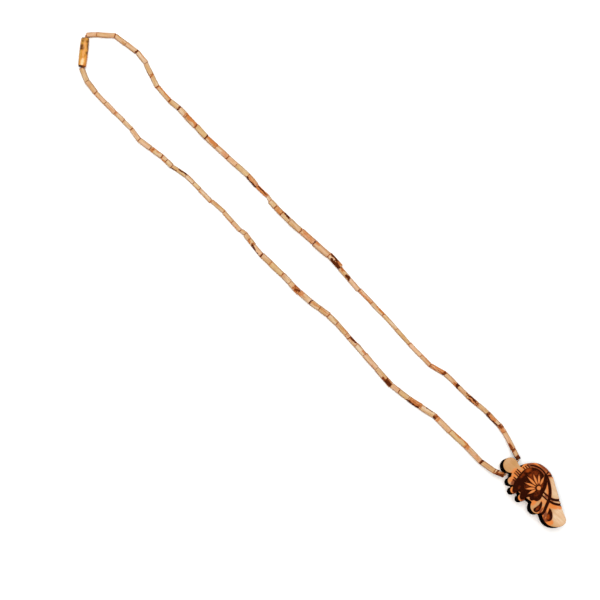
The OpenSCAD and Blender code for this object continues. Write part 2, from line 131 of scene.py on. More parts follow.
# Soft patches on the pendant's face, on axes that start at the middle of its neck hole: u to the
# right, v up. Each row: middle u and v, reach along u and v, lean in degrees, strength. The orange
# and brown ones are lightly and strongly burnt, the pale ones are the lightest, and the warm ones
# lie on the engraved floor
Patch = namedtuple("Patch", "u v reach_u reach_v lean strength")
PATCHES = {
    "orange": [
        (-0.9, -1.8, 1.6, 0.7, 0, 0.6), (-3.9, -3.5, 1.2, 0.8, -25, 0.7), (-1.2, -3.3, 3.2, 0.8, -8, 0.7),
        (3.1, -3.6, 1.7, 0.8, -20, 0.6), (-6.8, -6.2, 1.1, 1.3, -20, 0.95),
        (-6.9, -10.1, 0.9, 1.4, 15, 0.95), (-5.3, -13.2, 0.7, 0.9, 30, 0.75),
        (-3.9, -14.7, 1.5, 0.9, 10, 0.75), (-4.6, -18.6, 2.2, 0.5, 8, 0.95),
        (-1.2, -17.2, 0.9, 1.4, 20, 0.5), (-5.5, -21.8, 1.1, 2.1, 8, 1), (-5.0, -24.0, 1.3, 0.9, -35, 1),
        (-2.2, -20.2, 1.7, 0.6, 22, 0.6), (0.1, -20.9, 0.9, 2.1, 25, 0.9), (1.4, -22.9, 0.7, 0.7, 0, 0.85),
        (3.4, -15.0, 0.7, 3.2, -45, 0.6), (1.0, -9.9, 5.0, 4.2, 0, 0.6), (6.9, -8.0, 1.5, 5.2, 8, 1),
    ],
    "brown": [
        (-3.9, -4.4, 1.3, 0.7, 0, 1), (-0.3, -3.4, 1.1, 0.8, 0, 0.35), (-5.9, -6.9, 1.0, 0.9, 0, 1),
        (-5.9, -11.0, 0.9, 1.0, 0, 1), (-5.4, -12.2, 0.8, 0.7, 30, 0.8), (4.9, -4.6, 1.6, 0.35, -35, 0.7),
        (6.5, -7.6, 0.5, 4.0, 14, 0.6), (7.8, -8.6, 0.5, 4.4, 5, 0.95), (7.3, -12.4, 0.6, 0.8, -20, 0.6),
        (-4.5, -20.9, 1.5, 0.5, 18, 0.85), (-4.4, -18.7, 1.7, 0.3, 8, 0.75), (1.1, -16.6, 0.8, 0.8, 0, 0.7),
        (4.9, -4.3, 0.7, 0.5, -40, 0.8), (-5.6, -22.0, 0.6, 1.2, 10, 0.7), (-6.2, -25.3, 0.5, 1.4, 35, 0.5),
    ],
    "pale": [
        (-0.4, -25.2, 3.4, 3.2, 25, 1), (4.9, -17.2, 1.5, 4.6, -38, 0.8), (-0.2, 2.2, 1.2, 0.8, 0, 0.25),
    ],
    "warm": [
        (0.3, -5.3, 1.6, 0.6, 0, 0.6), (3.3, -5.4, 1.3, 0.9, -20, 1.2), (-3.7, -7.3, 0.9, 0.6, 20, 0.45),
        (3.4, -8.6, 2.2, 2.2, 0, 0.75), (-0.8, -9.4, 1.7, 1.8, 0, 0.5), (2.8, -12.3, 1.7, 0.9, 20, 0.7),
        (-0.6, -13.4, 1.6, 0.8, 0, 0.5), (-4.4, -17.3, 1.3, 0.5, 10, 0.8), (-4.0, -22.0, 1.0, 0.8, 35, 1.4),
    ],
}

# The plate's right edge and top on those axes, and the height of its neck hole there
PLATE_RIGHT_U = 8.37
PLATE_TOP_V = 3.25
NECK_BORE_V = -0.8
# The comb's grooves lie above this height
COMB_LOW_V = -4.4


def colour_setting(label, about, default):
    return FloatVectorProperty(
        name=label, description=about, subtype="COLOR_GAMMA", size=3, min=0, max=1, default=default)


def length_setting(label, about, default, low, high):
    return FloatProperty(
        name=label, description=about, unit="LENGTH", default=default, min=low, max=high, precision=5)


class BeadSettings(bpy.types.PropertyGroup):
    pale: colour_setting("Pale wood", "Colour of the lightest twigs", (0.825, 0.74, 0.635))
    tan: colour_setting("Tan wood", "Colour of the darker streaks", (0.68, 0.465, 0.255))
    blush: colour_setting("Blush", "Colour that pinkish twigs lean to", (0.82, 0.645, 0.53))
    straw: colour_setting("Straw", "Colour that yellowish twigs lean to", (0.77, 0.655, 0.47))
    scorch: colour_setting("Scorch", "Colour of the orange stains", (0.70, 0.39, 0.15))
    singe: colour_setting("Singe", "Colour between the orange stains and the char", (0.50, 0.22, 0.06))
    char: colour_setting("Char", "Colour of the darkest stains", (0.28, 0.11, 0.025))
    rim: length_setting("Rim", "Rounding of the cut ends", 0.00009, 0.00004, 0.0003)
    joint: length_setting("Joint", "Space left between neighbouring twigs", 0.00003, 0.00001, 0.0001)
    bow: length_setting("Bow", "Most that a twig bends out at its middle", 0.0001, 0, 0.0002)
    slant: length_setting("Slant", "Most that one side of a cut end lies back", 0.00011, 0, 0.0003)
    unevenness: FloatProperty(
        name="Unevenness", description="Depth of dips, as a share of the bead's radius",
        subtype="FACTOR", default=0.085, min=0, max=0.12)


class ThreadSettings(bpy.types.PropertyGroup):
    light: colour_setting("Light cotton", "Colour of the strands", (0.76, 0.53, 0.33))
    # The colour between the strands is painted shade in the creases of the twist, and it also tints the
    # fibres
    dark: colour_setting("Dark cotton", "Colour between the strands", (0.42, 0.22, 0.10))
    plies: IntProperty(
        name="Plies", description="Strands that the thread is twisted from",
        default=3, min=2, max=4)
    pitch: length_setting("Pitch", "Length of one turn of the twist", 0.0016, 0.0008, 0.003)


class BarrelSettings(bpy.types.PropertyGroup):
    amber: colour_setting("Amber", "Main colour", (0.75, 0.50, 0.19))
    honey: colour_setting("Honey", "Colour of the light mottling", (0.83, 0.60, 0.28))
    umber: colour_setting("Umber", "Colour of the dark blotches", (0.32, 0.15, 0.01))
    burnt: colour_setting("Burnt ring", "Colour of the ring at its lower end", (0.22, 0.09, 0.03))
    ring: length_setting("Ring", "Width of the burnt ring", 0.0005, 0.0003, 0.001)


class PendantSettings(bpy.types.PropertyGroup):
    face: colour_setting("Face", "Colour of the sanded wood", (0.685, 0.515, 0.32))
    pale: colour_setting("Pale face", "Colour of the lightest part of the face", (0.83, 0.72, 0.59))
    grain: colour_setting("Grain", "Colour of the grain lines", (0.68, 0.48, 0.28))
    orange: colour_setting("Orange scorch", "Colour of the lightly burnt wood", (0.80, 0.44, 0.17))
    brown: colour_setting("Brown scorch", "Colour of the warm engraved wood", (0.42, 0.16, 0.05))
    floor: colour_setting("Engraved floor", "Colour of the burnt floor", (0.17, 0.05, 0.02))
    char: colour_setting("Char", "Colour of the cut edges", (0.02, 0.015, 0.015))
    spacing: length_setting(
        "Mesh spacing", "Distance between the points of the face", 0.00014, 0.0001, 0.0004)
    wall: length_setting(
        "Groove wall", "Width of the slope at the side of a groove", 0.00013, 0.00005, 0.0003)
    kerf: length_setting("Kerf marks", "Depth of the upright marks on the cut edge", 0.00005, 0, 0.0001)


class StageSettings(bpy.types.PropertyGroup):
    floor: colour_setting("Floor", "Colour of the plain floor", (0.98, 0.98, 0.975))
    distance: length_setting("Camera distance", "Height of the camera over the floor", 0.8, 0.3, 3)
    view_width: length_setting("View width", "Width of floor that fills the picture", 0.2175, 0.1, 0.5)
    key_power: FloatProperty(
        name="Key light", description="Power of the large soft light", unit="POWER",
        default=17, min=0, max=50)
    fill: FloatProperty(
        name="Fill", description="Strength of the light from all round", subtype="FACTOR",
        default=0.36, min=0, max=3)


def linear(colour):
    """The linear colour that a screen colour stands for, with alpha."""
    steps = [c / 12.92 if c <= 0.04045 else ((c + 0.055) / 1.055) ** 2.4 for c in colour]
    return (*steps, 1.0)


def smoothstep(x):
    x = np.clip(x, 0, 1)
    return x * x * (3 - 2 * x)


def unit(v):
    return v / np.linalg.norm(v)


def units(rows):
    return rows / np.linalg.norm(rows, axis=1)[:, None]


def following(loop):
    """For each place of a closed line, the next one."""
    return np.roll(loop, -1, 0)


def turns(sides):
    """The angles of the places of a ring."""
    return np.arange(sides) * math.tau / sides


def circle(turn):
    """Places on a circle of radius 1."""
    return np.stack([np.cos(turn), np.sin(turn)], -1)


def noise_field(rng, u, v, scales):
    """Smooth random relief from a few crossed waves, about -1 to 1."""
    total = np.zeros(np.shape(u))
    for scale, size in scales:
        for _ in range(5):
            a, b = rng.normal(0, 1, 2) * math.tau / scale
            total = total + size * np.sin(a * u + b * v + rng.uniform(0, math.tau))
    return total / 2.2


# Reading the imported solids


def places_of(mesh):
    """The places in mm of a mesh."""
    co = np.zeros(len(mesh.vertices) * 3, np.float32)
    mesh.vertices.foreach_get("co", co)
    return co.reshape(-1, 3).astype(float) / MM


def solid(name):
    """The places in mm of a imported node, and its triangles, with shared places joined."""
    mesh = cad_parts[name].data
    corners = np.zeros(len(mesh.loops), np.int32)
    mesh.loops.foreach_get("vertex_index", corners)
    places, joined = np.unique(np.round(places_of(mesh), 4), axis=0, return_inverse=True)
    return places, joined.reshape(-1)[corners].reshape(-1, 3)


def groups(count, links):
    """A number for each place, the same for places that the links join."""
    label = np.arange(count)
    while True:
        low = np.minimum(label[links[:, 0]], label[links[:, 1]])
        new = label.copy()
        np.minimum.at(new, links[:, 0], low)
        np.minimum.at(new, links[:, 1], low)
        new = new[new]
        if np.array_equal(new, label):
            return label
        label = new


def sides_of(triangles):
    """The sides of all triangles, as pairs of places."""
    return np.vstack([triangles[:, [0, 1]], triangles[:, [1, 2]], triangles[:, [2, 0]]])


def open_sides(triangles):
    """The sides that belong to one triangle only."""
    sides = np.sort(sides_of(triangles), axis=1)
    kinds, times = np.unique(sides, axis=0, return_counts=True)
    return kinds[times == 1]


def loop_through(edges):
    """The places of a closed outline, in order."""
    beside = {}
    for a, b in edges.tolist():
        beside.setdefault(a, []).append(b)
        beside.setdefault(b, []).append(a)
    first = edges[0, 0]
    loop, last = [first], None
    while True:
        ahead = [k for k in beside[loop[-1]] if k != last]
        last = loop[-1]
        if ahead[0] == first:
            return np.array(loop)
        loop.append(ahead[0])


def face_normals(places, triangles):
    """Unit direction and area of each triangle."""
    a, b, c = (places[triangles[:, k]] for k in range(3))
    n = np.cross(b - a, c - a)
    area = np.linalg.norm(n, axis=1)
    return n / np.maximum(area, 1e-12)[:, None], area / 2


def circle_of(points, axis):
    """Middle and radius of the circle that the points lie on, square to the axis."""
    middle = points.mean(0)
    side = unit(np.cross(axis, UP))
    over = np.cross(side, axis)
    flat = (points - middle) @ np.stack([side, over], 1)
    table = np.c_[2 * flat, np.ones(len(flat))]
    x, y, c = np.linalg.lstsq(table, (flat**2).sum(1), rcond=None)[0]
    return middle + side * x + over * y, math.sqrt(c + x * x + y * y)


Turned = namedtuple("Turned", "low high low_r high_r bore_low bore_high bore_r skin")
# Places this near an end, in mm, belong to it, and triangles under this cosine run along the axis
NEAR_END, ALONG_AXIS = 0.02, 0.9


def read_turned(places, triangles):
    """The axis, end radii and hole of one drilled round solid, and the places of its skin."""
    used = np.unique(triangles)
    points = places[used]
    axis = np.linalg.svd(points - points.mean(0), full_matrices=False)[2][0]
    normals, _ = face_normals(places, triangles)
    lateral = triangles[np.abs(normals @ axis) < ALONG_AXIS]
    label = groups(len(places), sides_of(lateral))
    parts = [used[label[used] == k] for k in np.unique(label[np.unique(lateral)])]
    middle = points.mean(0)
    reach = [np.linalg.norm(np.cross(places[p] - middle, axis), axis=1).max() for p in parts]
    skin, bore = (places[parts[k]] for k in np.argsort(reach)[[-1, 0]])
    if axis[1] < 0:
        axis = -axis
    ends = []
    for part in (skin, bore):
        t = (part - middle) @ axis
        for end in (t < t.min() + NEAR_END, t > t.max() - NEAR_END):
            ends.append(circle_of(part[end], axis))
    (low, low_r), (high, high_r), (bore_low, bore_r), (bore_high, _) = ends
    return Turned(low, high, low_r, high_r, bore_low, bore_high, bore_r, skin)


def read_beads(name):
    """Every bead of a strand, from the barrel bead's end down to the pendant."""
    places, triangles = solid(name)
    label = groups(len(places), sides_of(triangles))[triangles[:, 0]]
    found = [read_turned(places, triangles[label == k]) for k in np.unique(label)]
    return sorted(found, key=lambda b: -(b.low[1] + b.high[1]))


def read_route():
    """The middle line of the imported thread, as a closed list of places."""
    places, triangles = solid("thread")
    links = sides_of(triangles)
    span = np.linalg.norm(places[links[:, 0]] - places[links[:, 1]], axis=1)
    ring_w = 2 * np.median(np.sort(span)[: len(places)])
    ring = groups(len(places), links[span < ring_w])
    pairs = np.sort(ring[links[span >= ring_w]], axis=1)
    pairs = np.unique(pairs[pairs[:, 0] != pairs[:, 1]], axis=0)
    return np.array([places[ring == k].mean(0) for k in loop_through(pairs)])


# Making meshes


def new_mesh(name, points, faces):
    """A mesh with places given in mm."""
    mesh = bpy.data.meshes.new(name)
    mesh.from_pydata((np.reshape(points, (-1, 3)) * MM).tolist(), [], faces)
    return mesh


def add_object(name, data):
    """A new object in the scene that holds the mesh, lamp or camera."""
    thing = bpy.data.objects.new(name, data)
    bpy.context.collection.objects.link(thing)
    return thing


def make_piece(name, points, faces, material, replaced, attributes, crease=None):
    """Writes a mesh piece with its point attributes, ties it to the body and hides the nodes that it
    replaces.
    """
    mesh = new_mesh(name, points, faces)
    mesh.validate()
    for key, values in attributes.items():
        values = np.ravel(values).astype(np.float32)
        wide = len(values) == 3 * len(mesh.vertices)
        kind, field = ("FLOAT_VECTOR", "vector") if wide else ("FLOAT", "value")
        mesh.attributes.new(key, kind, "POINT").data.foreach_set(field, values)
    mesh.shade_smooth()
    if crease:
        mesh.set_sharp_from_angle(angle=math.radians(crease))
    mesh.materials.append(material)
    piece = add_object(name, mesh)
    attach(piece, "root")
    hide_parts(*replaced)


def ring_faces(rings, sides, start=0, closed=True):
    """Quads that join each ring to the next, and the last to the first where closed."""
    i, k = np.meshgrid(np.arange(rings if closed else rings - 1), np.arange(sides), indexing="ij")
    j, m = (i + 1) % rings, (k + 1) % sides
    corners = np.stack([i * sides + k, i * sides + m, j * sides + m, j * sides + k], -1)
    return (corners.reshape(-1, 4) + start).tolist()


def axes_of(low, high):
    """Length and unit axes of a round piece: to its right seen from above, its top, its length."""
    span = high - low
    length = np.linalg.norm(span)
    along = span / length
    side = unit(np.cross(along, UP))
    return length, np.stack([side, np.cross(side, along), along])


def strongest(masks):
    """The highest of the masks at each place."""
    return np.max(list(masks), axis=0)


# Share of an end's slant that is gone at its hole
END_FLATTENING = 0.65


def with_ends(skin, turned, base, steps, sink=0.0, grit=(0.0, 0.0)):
    """The rings of a skin, and those that close its high end and its low end down to the hole.

    Each step is a share of the way from rim to hole, the hole's width and the depth in mm.
    """
    closing = []
    centres = (turned.bore_high, turned.bore_low)
    for outer, centre, inward, rough in zip(skin[[-1, 0]], centres, (-1, 1), grit):
        hole = (centre - turned.low) @ base.T
        level = outer[:, 2].mean()
        for share, width, depth in steps:
            ring = outer * (1 - share)
            round_hole = circle(turns(len(outer))) * turned.bore_r * width
            ring[:, :2] += (hole[:2] + round_hole) * share
            ring[:, 2] = level + (outer[:, 2] - level) * (1 - END_FLATTENING * share)
            ring[:, 2] += inward * (depth + sink + (rough if share < 1 else 0))
            closing.append(ring)
    high, low = np.split(np.array(closing), 2)
    return np.concatenate([skin, high, low[::-1]])


# Beads

# Each strand's node, its piece and the seed of its random draws
STRANDS = ((LEFT, "twig_beads_left", 11), (RIGHT, "twig_beads_right", 12))
STAIN_SEED = 77
BEAD_SIDES = 44
# Distance in mm between the rings of a bead
RING_STEP = 0.24
# How far, in mm, the first and last twigs go on past their plain solids, and the first twig on the
# left stays off the barrel bead
FIRST_ROOM = 0.22
END_ROOM = 0.12
BARREL_ROOM = 0.09
# Rings that round a rim: height and how far in, as shares of the rim's width
RIM_STEPS = np.array([(0, 1), (0.3, 0.35), (1, 0)])
# Least and most, in mm, that an end goes on past its plain solid, and the run that it changes
LEAST_REACH, MOST_REACH, STRETCHED = -0.2, 0.55, 0.6
# Rings that close an end, as with_ends takes them, how far the end lies in and its roughness in mm
BEAD_END = ((0.45, 1, 0), (1, 1.18, 0), (1, 1, 0.12))
BEAD_SINK, BEAD_GRIT = 0.012, 0.006
# Cosine of the angle that a scraped flat reaches round to
FLAT_EDGE = 0.3
# How many twigs have a knot, as a share, and its reach in mm
KNOT_CHANCE, KNOT_REACH = 0.3, 0.3
# How many twigs have one more burn than the chart gives, as a share
BURN_CHANCE = 0.45
# Share of a cut end's look that a rim has, and the width in mm of the burn beside it
RIM_CUT, RIM_BURN = 0.7, 0.2


def dips(rng, turn, run, strength):
    """Random dips over a round surface, from 0 to the strength, where turn is the angle."""
    total = np.zeros(np.broadcast(turn, run).shape)
    for waves, size in ((1, 0.5), (2, 0.8), (3, 0.7), (5, 0.45), (7, 0.3)):
        total += size * np.cos(waves * turn + rng.uniform(0, math.tau) + rng.normal(0, 0.5) * run)
    return strength * (0.5 + 0.5 * np.tanh(total / 1.2))


def bead_skin_radius(rng, bead, turn, run, length, settings):
    """Radius over a twig's skin: a cone with dips, a few scraped flats and sometimes a knot."""
    cone = bead.low_r + (bead.high_r - bead.low_r) * run / length
    radius = cone * (1 - dips(rng, turn, run, settings.unevenness * 0.55))
    for _ in range(rng.integers(1, 4)):
        flat = cone * (1 - settings.unevenness * rng.uniform(0.2, 1))
        facing = np.cos(turn - rng.uniform(0, math.tau) - 0.02 * run)
        scraped = np.minimum(radius, flat / np.maximum(facing, FLAT_EDGE))
        radius = np.where(facing > FLAT_EDGE, scraped, radius)
    if rng.random() < KNOT_CHANCE:
        knot = rng.uniform(0.15, 0.85) * length
        swell = np.exp(-(((run - knot) / KNOT_REACH) ** 2))
        swell = swell * (0.6 + 0.4 * np.cos(turn - rng.uniform(0, 6)))
        radius = np.minimum(cone, radius * (0.975 + 0.045 * swell))
    return radius


def joint_planes(beads, barrel_end):
    """Middle and direction of the plane that parts each bead from the next, and the ends' own."""
    facings = [unit(bead.high - bead.low) for bead in beads]
    planes = [barrel_end or (beads[0].high + facings[0] * FIRST_ROOM, facings[0])]
    for k in range(1, len(beads)):
        middle = (beads[k - 1].low + beads[k].high) / 2
        planes.append((middle, unit(facings[k - 1] + facings[k])))
    planes.append((beads[-1].low - facings[-1] * END_ROOM, facings[-1]))
    return planes


def end_reach(bead, base, plane, turn, sign, gap):
    """How far past the plain solid's end a twig goes on, round its rim, to meet a joint's plane."""
    centre, radius = (bead.high, bead.high_r) if sign > 0 else (bead.low, bead.low_r)
    point, facing = plane
    rim = radius * circle(turn) @ base[:2]
    reach = sign * ((point - centre - rim) @ facing) / (base[2] @ facing)
    return np.clip(reach - gap / 2, LEAST_REACH, MOST_REACH)


def bead_rings(rng, bead, planes, settings):
    """Places of one bead, ring by ring round its skin and back through its hole."""
    length, base = axes_of(bead.low, bead.high)
    turn = turns(BEAD_SIDES)
    rim = settings.rim / MM * rng.uniform(0.8, 1.4)
    body = np.linspace(rim * 1.8, length - rim * 1.8, max(8, round(length / RING_STEP)))
    heights, insets = RIM_STEPS.T * rim
    run = np.concatenate([heights, body, length - heights[::-1]])[:, None]
    inset = np.concatenate([insets, 0 * body, insets[::-1]])[:, None]
    radius = bead_skin_radius(rng, bead, turn[None], run, length, settings) - inset
    # Cut ends follow the plane of their joint, and lie a little back from it on one side
    high, low = (
        end_reach(bead, base, plane, turn, sign, settings.joint / MM)
        - settings.slant / MM * rng.random() * (0.5 + 0.5 * np.cos(turn - rng.uniform(0, math.tau)))
        for plane, sign in zip(planes, (1, -1)))
    shown = run + high * np.maximum(0, 1 - (length - run) / STRETCHED)
    shown -= low * np.maximum(0, 1 - run / STRETCHED)
    skin = np.concatenate([radius[..., None] * circle(turn), shown[..., None]], -1)
    bow = settings.bow / MM * min(1, length / 6) * np.array([rng.uniform(-1, 1), rng.uniform(0, 0.3)])
    skin[..., :2] += bow * np.sin(math.pi * run / length)[..., None]
    grit = rng.normal(0, BEAD_GRIT, (2, BEAD_SIDES))
    local = with_ends(skin, bead, base, BEAD_END, BEAD_SINK, grit)
    cut, end_gap = np.zeros((2, len(local), 1))
    cut[[0, len(skin) - 1]] = RIM_CUT
    cut[len(skin):] = 1
    end_gap[: len(skin)] = np.minimum(run, length - run)
    return local, bead.low + local @ base, cut, end_gap, length


def stain_masks(strand, bead, world, cut):
    """How charred and how orange each place of a bead is, by the chart of stains."""
    along = unit(bead.high - bead.low)
    off = world - (bead.low + bead.high) / 2
    off = off - (off @ along)[..., None] * along
    radius = max(bead.low_r, bead.high_r)
    across = off @ unit(np.cross(along, UP)) / radius
    above = off @ UP / radius
    y = world[..., 1] + CHART_MID[1]
    char, amber = np.zeros((2, *y.shape))
    rng = np.random.default_rng(STAIN_SEED)
    drift = noise_field(rng, y, across * 1.5, ((2.6, 0.6), (1.1, 0.4)))
    wander = noise_field(rng, y, across * 0.4, ((3.5, 0.7), (1.3, 0.3)))
    bands = [(upper, lower, 0, BAND_REACH, *burn) for upper, lower, *burn in BANDS[strand]]
    for s in (Stain(*row) for row in STAINS[strand] + bands):
        if s.lower > y.max() + 1 or s.upper < y.min() - 1:
            continue
        tall = s.upper - s.lower
        soft = min(max(0.4 * tall, 0.16), 0.6)
        seen_y = y + min(0.9, 0.3 * tall) * drift
        over = smoothstep((s.upper - seen_y) / soft + 0.5) * smoothstep((seen_y - s.lower) / soft + 0.5)
        aside = across + (0.22 * wander if tall > 1 else 0)
        beside = smoothstep(1.5 - np.abs(aside - s.across) / s.reach)
        shown = np.where(s.reach > 1, 1, smoothstep((above + 0.35) / 0.6))
        mask = over * np.where(cut > 0.8, np.minimum(beside + 0.3, 1), beside) * shown
        char = np.maximum(char, s.char * mask)
        amber = np.maximum(amber, s.amber * mask)
    return char, amber


def more_burns(rng, local, length, cut, end_gap, char, amber):
    """Adds the burns that the chart doesn't hold, at joints and underneath, and painted shade along both
    flanks.
    """
    x, y, run = np.moveaxis(local, -1, 0)
    nearer = np.where(run < length / 2, *rng.uniform(0.35, 1, 2))
    rim_burn = nearer * np.exp(-((end_gap / RIM_BURN) ** 2))
    # Painted shade: both flanks of each twig are darkened and warmed, where less light reaches its sides
    flank_shade = smoothstep((np.abs(x) / np.hypot(x, y) - 0.62) / 0.3) * (cut < 0.5)
    char = np.maximum(char, 0.5 * rim_burn)
    amber = strongest((amber, rim_burn, rng.uniform(0.05, 0.5) * flank_shade))
    if rng.random() < BURN_CHANCE:
        low_side = rng.uniform(math.pi, math.tau)
        facing = np.cos(np.arctan2(y, x) - low_side)
        start = rng.uniform(0, 0.7) * length
        patch = smoothstep((facing - 0.55) / 0.3) * smoothstep(1.4 - np.abs(run - start - 0.8) / 0.8)
        char = np.maximum(char, patch * rng.uniform(0, 0.8))
        amber = np.maximum(amber, patch * rng.uniform(0.4, 1))
    return char, amber, flank_shade


def build_strand(name, piece_name, seed, settings):
    rng = np.random.default_rng(seed)
    beads, barrel_end = read_beads(name), None
    if name == LEFT:
        barrel = read_turned(*solid("clasp_barrel"))
        facing = unit(barrel.high - barrel.low)
        barrel_end = (barrel.low - BARREL_ROOM * facing, facing)
    planes = joint_planes(beads, barrel_end)
    points, faces, attributes = [], [], {}
    for bead, *ends in zip(beads, planes, planes[1:]):
        local, world, cut, end_gap, length = bead_rings(rng, bead, ends, settings)
        burns = stain_masks(name, bead, world, cut)
        char, amber, flank_shade = more_burns(rng, local, length, cut, end_gap, *burns)
        lean = rng.normal(0.05, 0.45)
        values = {
            "twig_at": local, "seed": rng.uniform(0, 90), "tone": rng.random(),
            "blush": max(0, lean), "straw": min(max(0, -lean), 0.8), "cut": cut, "char": char,
            "amber": amber, "flank_shade": flank_shade}
        for key, value in values.items():
            shape = local.shape if key == "twig_at" else char.shape
            attributes.setdefault(key, []).append(np.broadcast_to(value, shape).ravel())
        faces += ring_faces(len(world), BEAD_SIDES, sum(map(len, points)))
        points.append(world.reshape(-1, 3))
    joined = {key: np.concatenate(rows) for key, rows in attributes.items()}
    make_piece(
        piece_name, np.concatenate(points), faces, twig_material(settings), [name],
        joined, crease=50)


# Thread

THREAD_SIDES = 18
# Length in mm that may show at both ends of a straight run, and the steps there and in between
SHOWN_RUN, SHOWN_STEP, HIDDEN_STEP = 0.75, 0.09, 0.9
# Corners are rounded this many times, where two steps are shorter than this length in mm
SOFTENINGS, SOFTENED_SPAN = 6, 0.5


def thread_line(route):
    """Places along the closed route: close together near its corners, which lie between beads."""
    out = []
    for a, b in zip(route, following(route)):
        length = np.linalg.norm(b - a)
        near = min(SHOWN_RUN, length / 2)
        hidden = length - 2 * near
        fine = np.linspace(0, near, max(2, round(near / SHOWN_STEP)), endpoint=False)
        count = max(1, round(hidden / HIDDEN_STEP)) if hidden > 0 else 0
        coarse = near + np.linspace(0, hidden, count, endpoint=False)
        steps = np.concatenate([fine, coarse, length - near + fine])
        out.append(a + steps[:, None] * (b - a) / length)
    line = np.concatenate(out)
    for _ in range(SOFTENINGS):
        before, after = np.roll(line, 1, 0), following(line)
        near = np.linalg.norm(after - before, axis=1) < SOFTENED_SPAN
        line = np.where(near[:, None], 0.5 * line + 0.25 * (before + after), line)
    return line


def build_thread(settings):
    low = np.array(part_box("thread")[0]) / MM
    route = read_route()
    line = thread_line(route)
    ahead = units(following(line) - np.roll(line, 1, 0))
    side = units(np.cross(ahead, UP))
    axes = np.stack([side, np.cross(side, ahead)], 1)
    gaps = np.linalg.norm(following(line) - line, axis=1)
    run = np.concatenate([[0], np.cumsum(gaps)[:-1]])[:, None]
    rounds = round(gaps.sum() / (settings.pitch / MM))
    turn = turns(THREAD_SIDES)
    angle = turn - run / gaps.sum() * rounds * math.tau
    lobe = np.abs(np.cos(settings.plies / 2 * angle))
    radius = (route[:, 2].min() - low[2]) * (0.74 + 0.26 * lobe**0.6)
    points = line[:, None] + circle(turn) @ axes * radius[..., None]
    points[..., 2] = np.maximum(points[..., 2], low[2])
    around = np.concatenate([circle(angle), np.broadcast_to(run, lobe.shape)[..., None]], -1)
    make_piece(
        "twisted_thread", points, ring_faces(len(line), THREAD_SIDES), thread_material(settings),
        ["thread"], {"lobe": lobe, "around": around})


# Barrel bead

BARREL_SEED = 21
BARREL_SIDES, BARREL_RINGS = 56, 60
BARREL_END = ((0.5, 1, 0), (1, 1.12, 0), (1, 1, 0.1))
# Heights in mm of the rings near an end, how far in the first one lies, and where the others start
BARREL_RIM, RIM_INSET, BODY_START = np.array([0, 0.04, 0.12]), 0.08, 0.22
# Depth in mm of the burnt ring, and its height over the end
GROOVE, GROOVE_START = 0.05, 0.1
# Degrees round the bead where the ring is darkest, and how burnt the holes are
BURNT_SIDE, HOLE_BURN = 150, 0.6

# Soft patches on the barrel bead: middle along it and round it, as a share and degrees from its
# right-hand side seen from above, their reach both ways, strength
Blotch = namedtuple("Blotch", "along turn reach_along reach_turn strength")
BLOTCHES = {
    "blotch": [
        (0.69, 129, 0.085, 34, 1), (0.62, 127, 0.05, 34, 1), (0.64, 98, 0.06, 20, 0.6),
        (0.88, 118, 0.05, 20, 0.7), (0.92, 92, 0.04, 18, 0.35), (0.87, 34, 0.06, 32, 0.95),
        (0.73, 14, 0.15, 36, 0.95), (0.49, 30, 0.055, 32, 0.9), (0.98, 140, 0.035, 50, 0.8),
        (0.96, 20, 0.035, 30, 0.7), (0.34, 174, 0.34, 20, 0.7), (0.55, 255, 0.12, 40, 0.9),
        (0.3, 300, 0.06, 30, 0.6),
    ],
    "ruddy": [
        (0.28, 14, 0.17, 27, 0.8), (0.5, 20, 0.28, 18, 0.5), (0.02, 24, 0.1, 50, 1),
        (0.35, 230, 0.2, 40, 0.6),
    ],
    "olive": [
        (0.44, 142, 0.16, 26, 0.7), (0.86, 112, 0.12, 34, 0.8), (0.92, 40, 0.06, 30, 0.5),
        (0.16, 150, 0.12, 20, 0.7),
    ],
    # Painted highlight: lighter wood along the top of the bead, where light falls on it
    "painted_top_light": [
        (0.8, 80, 0.05, 26, 0.9), (0.5, 78, 0.08, 24, 0.6), (0.72, 62, 0.14, 18, 0.7),
    ],
    # Painted highlight: a pale spot on the top of the bead near its lower end
    "pale": [
        (0.12, 92, 0.055, 22, 0.8), (0.19, 89, 0.06, 23, 0.85), (0.25, 84, 0.045, 18, 0.75),
    ],
}


def blotch_masks(name, share, degrees):
    """Each soft patch of one kind, over the places of the barrel bead."""
    for spot in (Blotch(*row) for row in BLOTCHES[name]):
        away = np.abs((degrees - spot.turn + 180) % 360 - 180) / spot.reach_turn
        reach = np.hypot(away, (share - spot.along) / spot.reach_along)
        yield spot.strength * smoothstep((1.6 - reach) / 1.3)


